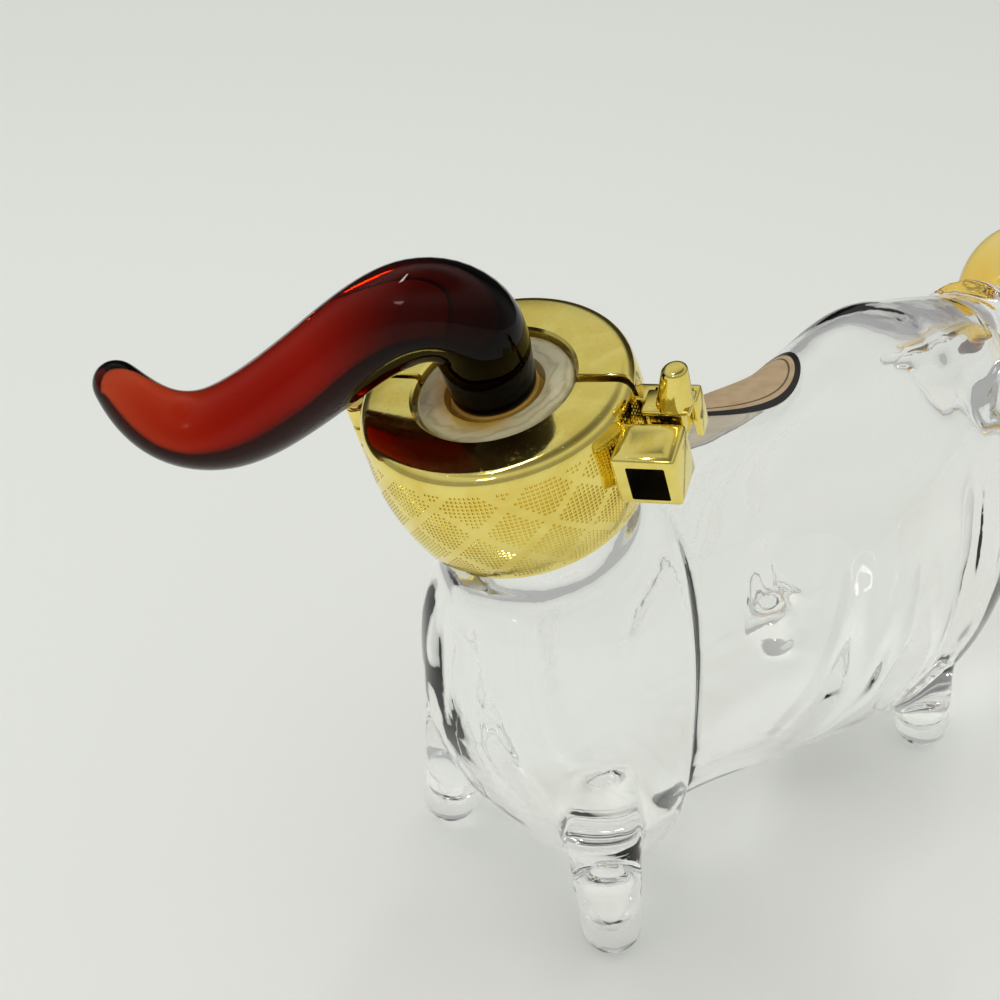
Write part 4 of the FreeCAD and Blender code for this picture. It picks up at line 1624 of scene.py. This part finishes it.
@dataclass
class TailStopper:
    """The curved amber tail with its shank and end button.

    Attributes:
        radius: Radius of the rod.
        reach: How far the tail reaches from the neck's axis.
        rise: How high its bend stands over the mouth.
        shank: Radius of the shank in the sleeve.
        button: Radius of the button under the sleeve.
        shank_depth: Depth of the button's end under the mouth.
        shoulder: Depth of the shoulder on the sleeve.
        turn_deg: Turn of the tail about the neck's axis, from the latch.
        tip_turns: Angles of the rings that round its tip.
        stations: Share of the reach, share of the rise, share of the radius and stretch of each ring.
    """

    radius: float = 9.0
    reach: float = 68.0
    rise: float = 20.0
    shank: float = 7.6
    button: float = 8.2
    shank_depth: float = 19.4
    shoulder: float = 1.4
    turn_deg: float = 198.0
    tip_turns: tuple[float, ...] = (30.0, 55.0, 73.0, 85.0)
    stations: tuple[tuple[float, float, float, float], ...] = (
        (0.000, 0.15, 0.94, 1.00), (-0.006, 0.42, 0.98, 1.02), (0.004, 0.73, 1.02, 1.08),
        (0.061, 0.93, 1.03, 1.08), (0.141, 0.99, 1.04, 1.05), (0.207, 0.945, 1.03, 1.03),
        (0.304, 0.82, 1.01, 1.00), (0.422, 0.59, 1.00, 1.00), (0.537, 0.38, 0.99, 1.00),
        (0.654, 0.19, 0.98, 1.00), (0.754, 0.09, 0.95, 1.00), (0.838, 0.095, 0.88, 1.00),
        (0.906, 0.195, 0.81, 1.00), (0.953, 0.365, 0.73, 1.00), (0.984, 0.60, 0.63, 1.00),
        (1.000, 0.825, 0.53, 1.00),
    )

    def rings(self) -> list[Ring]:
        """Find the stations of the shank, the curved rod and its rounded tip.

        Returns:
            The rings, from the button on.
        """
        up = Vector((0.0, 0.0, 1.0))
        low = -self.shank_depth
        rings = [
            Ring(Vector((0.0, 0.0, z)) * MM, r * MM, 1.0, up)
            for z, r in (
                (low, self.button * 0.9), (low + 0.15, self.button), (low + 0.85, self.button),
                (low + 1.1, self.shank), (low + 2.5, self.shank), (-self.shoulder - 2.0, self.shank),
                (-self.shoulder - 0.1, self.shank), (-self.shoulder + 0.2, self.radius * 0.93),
            )
        ]
        places = [Vector((a * self.reach, 0.0, b * self.rise)) * MM for a, b, _, _ in self.stations]
        ways = [up]
        for index in range(1, len(places) - 1):
            ways.append((places[index + 1] - places[index - 1]).normalized())
        ways.append((places[-1] - places[-2]).normalized())
        for place, way, (_, _, slim, stretch) in zip(places, ways, self.stations):
            rings.append(Ring(place, slim * self.radius * MM, stretch, way))
        return rings + round_tip(rings[-1], self.tip_turns)

    def build(self, amber: bpy.types.Material) -> None:
        """Model the tail, settle it in the neck and dress it.

        Args:
            amber: The tail's glass.
        """
        piece = Bench.rod("amber_tail", self.rings(), 32)
        Bench.settle(piece, NECK.matrix(self.turn_deg), 50.0)
        Bench.dress(piece, Rider.TAIL, amber, "dark_amber")
        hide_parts("tail_stopper")


@dataclass
class BackLabel:
    """The oval label laid over the upper left of the back.

    Attributes:
        half_length: Half its length.
        half_height: Half its height.
        along: Place of its middle along the body.
        side: Place of its middle across the body.
        height: Height of its drawing frame.
        lean_deg: Lean of the label to the left.
        lift: How far above its drawing frame it starts before it is laid on the glass.
        film: Gap between the label and the glass.
        thickness: Its thickness.
        hoops: Hoops of faces between its edge and its middle.
    """

    half_length: float = 23.0
    half_height: float = 16.0
    along: float = 73.0
    side: float = 7.0
    height: float = 90.0
    lean_deg: float = 18.0
    lift: float = 40.0
    film: float = 0.05
    thickness: float = 0.3
    hoops: int = 15

    def place(self) -> Matrix:
        """Return the label's drawing frame, above the back."""
        lean = Matrix.Rotation(math.radians(-self.lean_deg), 4, "X")
        return Matrix.Translation(row_point(self.along, self.side, self.height)) @ lean

    def build(self, bull: bpy.types.Object) -> None:
        """Model the label on the glass and dress it.

        Args:
            bull: The glass that the label lies on.
        """
        Bench.clear()
        bpy.ops.mesh.primitive_circle_add(vertices=96, radius=1.0, fill_type="NGON")
        piece = Bench.named("oval_label")
        with Bench.editing(piece):
            for _ in range(self.hoops):
                bpy.ops.mesh.select_mode(type=Pick.FACES.value)
                bpy.ops.mesh.inset(thickness=0.06, depth=0.0)
            bpy.ops.mesh.poke()
        piece.scale = (self.half_length * MM, self.half_height * MM, 1.0)
        bpy.ops.object.transform_apply(location=True, rotation=True, scale=True)
        piece.matrix_world = self.place() @ Matrix.Translation((0.0, 0.0, self.lift * MM))
        Bench.modify(
            piece, "SHRINKWRAP", wrap_method="PROJECT", use_project_z=True, use_negative_direction=True,
            use_positive_direction=False, target=bull, offset=self.film * MM,
        )
        Bench.modify(piece, "SMOOTH", factor=0.4, iterations=2)
        Bench.modify(piece, "SOLIDIFY", thickness=self.thickness * MM, offset=1.0)
        Bench.settle(piece, piece.matrix_world.copy(), 40.0)
        label_print = LabelPrint(self.half_length * MM, self.half_height * MM).build(self.place())
        Bench.dress(piece, Rider.BOTTLE, label_print, "label_print")
        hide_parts("back_label")


@dataclass
class Horns:
    """The two curved amber horns.

    Attributes:
        root: Middle of the left horn's root, in the drawing frame.
        run: How far a horn runs forward, aside and up.
        root_radius: Radius at the root.
        tip_radius: Radius at the tip.
        tip_turns: Angles of the rings that round the tip.
        stations: Share of the run forward, share of the run up and share of the taper of each ring.
    """

    root: Triple = (174.0, 8.0, 84.0)
    run: Triple = (27.0, 14.0, 15.0)
    root_radius: float = 7.0
    tip_radius: float = 2.4
    tip_turns: tuple[float, ...] = (35.0, 62.0, 82.0)
    stations: tuple[Triple, ...] = (
        (0.00, 0.00, 0.00), (0.10, 0.33, 0.08), (0.28, 0.60, 0.26), (0.50, 0.80, 0.48),
        (0.76, 0.94, 0.75), (1.00, 1.00, 1.00),
    )

    def rings(self, tall: float) -> list[Ring]:
        """Find the stations of a horn and of its rounded tip.

        Args:
            tall: The horn's height in its own plane, in millimetres.

        Returns:
            The rings, from the root on.
        """
        places = [Vector((a * self.run[0], 0.0, b * tall)) * MM for a, b, _ in self.stations]
        rings: list[Ring] = []
        for index, place in enumerate(places):
            before, after = places[max(index - 1, 0)], places[min(index + 1, len(places) - 1)]
            way = Vector((0.0, 0.0, 1.0)) if index == 0 else (after - before).normalized()
            slim = self.stations[index][2]
            radius = self.root_radius + slim * (self.tip_radius - self.root_radius)
            rings.append(Ring(place, radius * MM, 1.0, way))
        return rings + round_tip(rings[-1], self.tip_turns)

    def build(self, amber: bpy.types.Material) -> None:
        """Model each horn in its own plane, settle it on the head and dress it.

        Args:
            amber: The horns' glass.
        """
        forward = Vector((1.0, 0.0, 0.0))
        for sign, word in ((1.0, "left"), (-1.0, "right")):
            aside = Vector((0.0, sign * self.run[1], self.run[2]))
            piece = Bench.rod(word + "_horn_glass", self.rings(aside.length), 24)
            up = aside.normalized()
            turned = Matrix((forward, up.cross(forward), up)).transposed().to_4x4()
            root = row_point(self.root[0], sign * self.root[1], self.root[2])
            Bench.settle(piece, Matrix.Translation(root) @ turned, 60.0)
            Bench.dress(piece, Rider.BOTTLE, amber, "horn_amber")
            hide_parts(word + "_horn")


@dataclass(frozen=True)
class Room:
    """How bright the room is to one kind of ray.

    Attributes:
        ray: What the light path calls the ray.
        stops: Pairs of height and brightness, from the horizon to overhead.
        backdrop: Brightness of the dark backdrop behind the object, or None where it isn't seen.
    """

    ray: str
    stops: tuple[tuple[float, float], ...]
    backdrop: float | None = None


@dataclass
class Studio:
    """The pale floor, the soft lights and the camera at the photograph's angle.

    Attributes:
        camera_place: The camera's place in the drawing frame, in millimetres.
        azimuth_deg: The way that it looks, about the vertical.
        dip_deg: How far it looks down.
        lens: Its focal length in millimetres.
        sensor: Width of its sensor in millimetres.
        floor_colour: Colour of the floor.
        floor_size: Width of the floor.
        floor_drop: How far the floor lies under the feet.
        bounces: Bounces of a ray.
        rooms: How bright the room is to each kind of ray, the plain one first.
    """

    camera_place: Triple = (-181.8, -215.6, 274.2)
    azimuth_deg: float = 49.6
    dip_deg: float = 31.12
    lens: float = 61.2
    sensor: float = 36.0
    floor_colour: Triple = (0.86, 0.868, 0.838)
    floor_size: float = 5.0
    floor_drop: float = 0.2 * MM
    bounces: int = 28
    rooms: tuple[Room, ...] = (
        Room("Is Diffuse Ray", ((0.0, 0.68), (1.0, 0.84))),
        Room(
            "Is Glossy Ray",
            ((0.0, 0.34), (0.40, 0.34), (0.60, 0.56), (0.78, 0.64), (0.92, 0.26), (1.0, 0.16)),
            0.035,
        ),
        Room(
            "Is Transmission Ray",
            ((0.0, 0.76), (0.12, 0.74), (0.35, 0.64), (0.60, 0.54), (1.0, 0.64)),
            0.40,
        ),
        Room("Is Camera Ray", ((0.0, 0.68), (1.0, 0.70))),
    )

    def camera(self) -> None:
        """Place the camera."""
        turn, dip = math.radians(self.azimuth_deg), math.radians(self.dip_deg)
        level = math.cos(dip)
        way = Vector((math.cos(turn) * level, math.sin(turn) * level, -math.sin(dip)))
        data = bpy.data.cameras.new("view")
        data.lens = self.lens
        data.sensor_width = self.sensor
        data.clip_start = 0.01
        camera = bpy.data.objects.new("view", data)
        camera.location = row_point(*self.camera_place)
        camera.rotation_euler = way.to_track_quat("-Z", "Y").to_euler()
        bpy.context.scene.collection.objects.link(camera)
        bpy.context.scene.camera = camera

    def floor(self) -> None:
        """Lay the plain pale floor."""
        Bench.clear()
        bpy.ops.mesh.primitive_plane_add(size=self.floor_size, location=(0.0, 0.0, -self.floor_drop))
        floor = Bench.named("floor")
        graph = Graph("floor_card")
        fine = graph.noise(graph.place, 900.0, 2.0)
        graph.set(
            Base_Color=self.floor_colour, Roughness=0.45 + fine * 0.1, Specular_IOR_Level=0.35
        )
        floor.data.materials.append(graph.material)

    @staticmethod
    def lamp(
        name: str, place: Triple, target: Triple, size: tuple[float, float], power: float
    ) -> None:
        """Hang one soft box.

        Args:
            name: The lamp's name.
            place: Where it hangs, in metres.
            target: What it faces.
            size: Its width and height.
            power: Its power in watts.
        """
        data = bpy.data.lights.new(name, "AREA")
        data.shape = "RECTANGLE"
        data.size, data.size_y = size
        data.energy = power
        lamp = bpy.data.objects.new(name, data)
        lamp.location = place
        way = Vector(target) - Vector(place)
        lamp.rotation_euler = way.to_track_quat("-Z", "Y").to_euler()
        bpy.context.scene.collection.objects.link(lamp)

    def surroundings(self) -> None:
        """Set the room: pale to the eye, with a dark backdrop for reflections and through glass."""
        sky = Sky("room")
        forward, left, height = sky.parts(sky.direction)
        turn = math.radians(self.azimuth_deg)
        away = forward * math.cos(turn) + left * math.sin(turn)
        behind = away.span(0.35, 0.80) * (1.0 - height.span(0.48, 0.74))
        plain = sky.ramp(height, self.rooms[0].stops)
        colour = plain
        for room in self.rooms[1:]:
            level = sky.ramp(height, room.stops)
            if room.backdrop is not None:
                level = sky.blend(behind, level, (room.backdrop,) * 3)
            colour = sky.blend(sky.ray(room.ray), colour, level)
        sky.glow(sky.blend(sky.ray("Diffuse Depth").over(0.5), colour, plain))

    def build(self) -> None:
        """Set up the whole studio."""
        scene = bpy.context.scene
        scene.view_settings.view_transform = "Standard"
        scene.cycles.max_bounces = self.bounces
        scene.cycles.transmission_bounces = self.bounces
        self.camera()
        self.floor()
        self.surroundings()
        self.lamp("key_panel", (-0.25, 0.45, 1.25), (0.0, 0.0, 0.05), (0.42, 0.04), 1.7)
        self.lamp("side_panel", (-0.95, -0.25, 0.85), (0.0, 0.0, 0.08), (0.18, 0.11), 0.6)


class CarriedOver:
    """The CAD pieces whose shape is right, with their finishes."""

    def __init__(self, finishes: dict[str, bpy.types.Material]) -> None:
        """Keep the finish of each node by name."""
        self.finishes = finishes

    def dress(self) -> None:
        """Give each node its finish."""
        for node, material in self.finishes.items():
            mesh = frame["nodes"][node].data
            mesh.materials.clear()
            mesh.materials.append(material)
            LOG.info("CAD node %s keeps its shape", node)


def main() -> None:
    """Build every piece in order."""
    logging.basicConfig(level=logging.INFO, format="%(name)s: %(message)s")
    Bench.clear()
    Studio().build()
    clear = ClearGlass().build()
    plate = GoldPlate().build()
    # Near-black metal painted as shade in the recess of the latch window.
    window_shade = GoldPlate("painted_window_shade", (0.045, 0.038, 0.030), (0.028, 0.023, 0.018), 0.55).build()
    pins = GoldPlate("pin_brass", (0.78, 0.58, 0.20), (0.62, 0.44, 0.13), 0.2).build()
    # The fourth and fifth values set the painted dark edge: its colour and where it starts.
    dark = AmberGlass("dark_amber", (0.83, 0.27, 0.01), 400.0, (0.004, 0.001, 0.001), 0.34, 1.0).build()
    light = AmberGlass("horn_amber", (0.97, 0.80, 0.05), 160.0, (0.30, 0.17, 0.02), 0.55).build()
    bead = AmberGlass("eye_amber", (0.62, 0.20, 0.02), 1200.0, (0.01, 0.003, 0.001), 0.30).build()
    liner = PaleRubber("liner_rubber", (0.70, 0.70, 0.66), (0.60, 0.60, 0.56)).build()
    sleeve = PaleRubber("seal_silicone", (0.62, 0.37, 0.07), (0.48, 0.27, 0.04)).build()
    blown = GlassBull()
    bull = blown.build()
    Bench.dress(bull, Rider.BOTTLE, clear, "clear_glass")
    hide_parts(*blown.nodes)
    neck = NeckFinish().build()
    Bench.dress(neck, Rider.BOTTLE, LipGlass().build(), "clear_glass")
    ClampCollar().build(plate, window_shade)
    LatchLever().build(plate)
    TailStopper().build(dark)
    Horns().build(light)
    BackLabel().build(bull)
    CarriedOver({
        "hinge_pin": pins, "latch_pivot_pin": pins, "rear_liner": liner, "front_liner": liner,
        "stopper_sleeve": sleeve, "left_eye": bead, "right_eye": bead,
    }).dress()


if __name__ == "__main__":
    main()
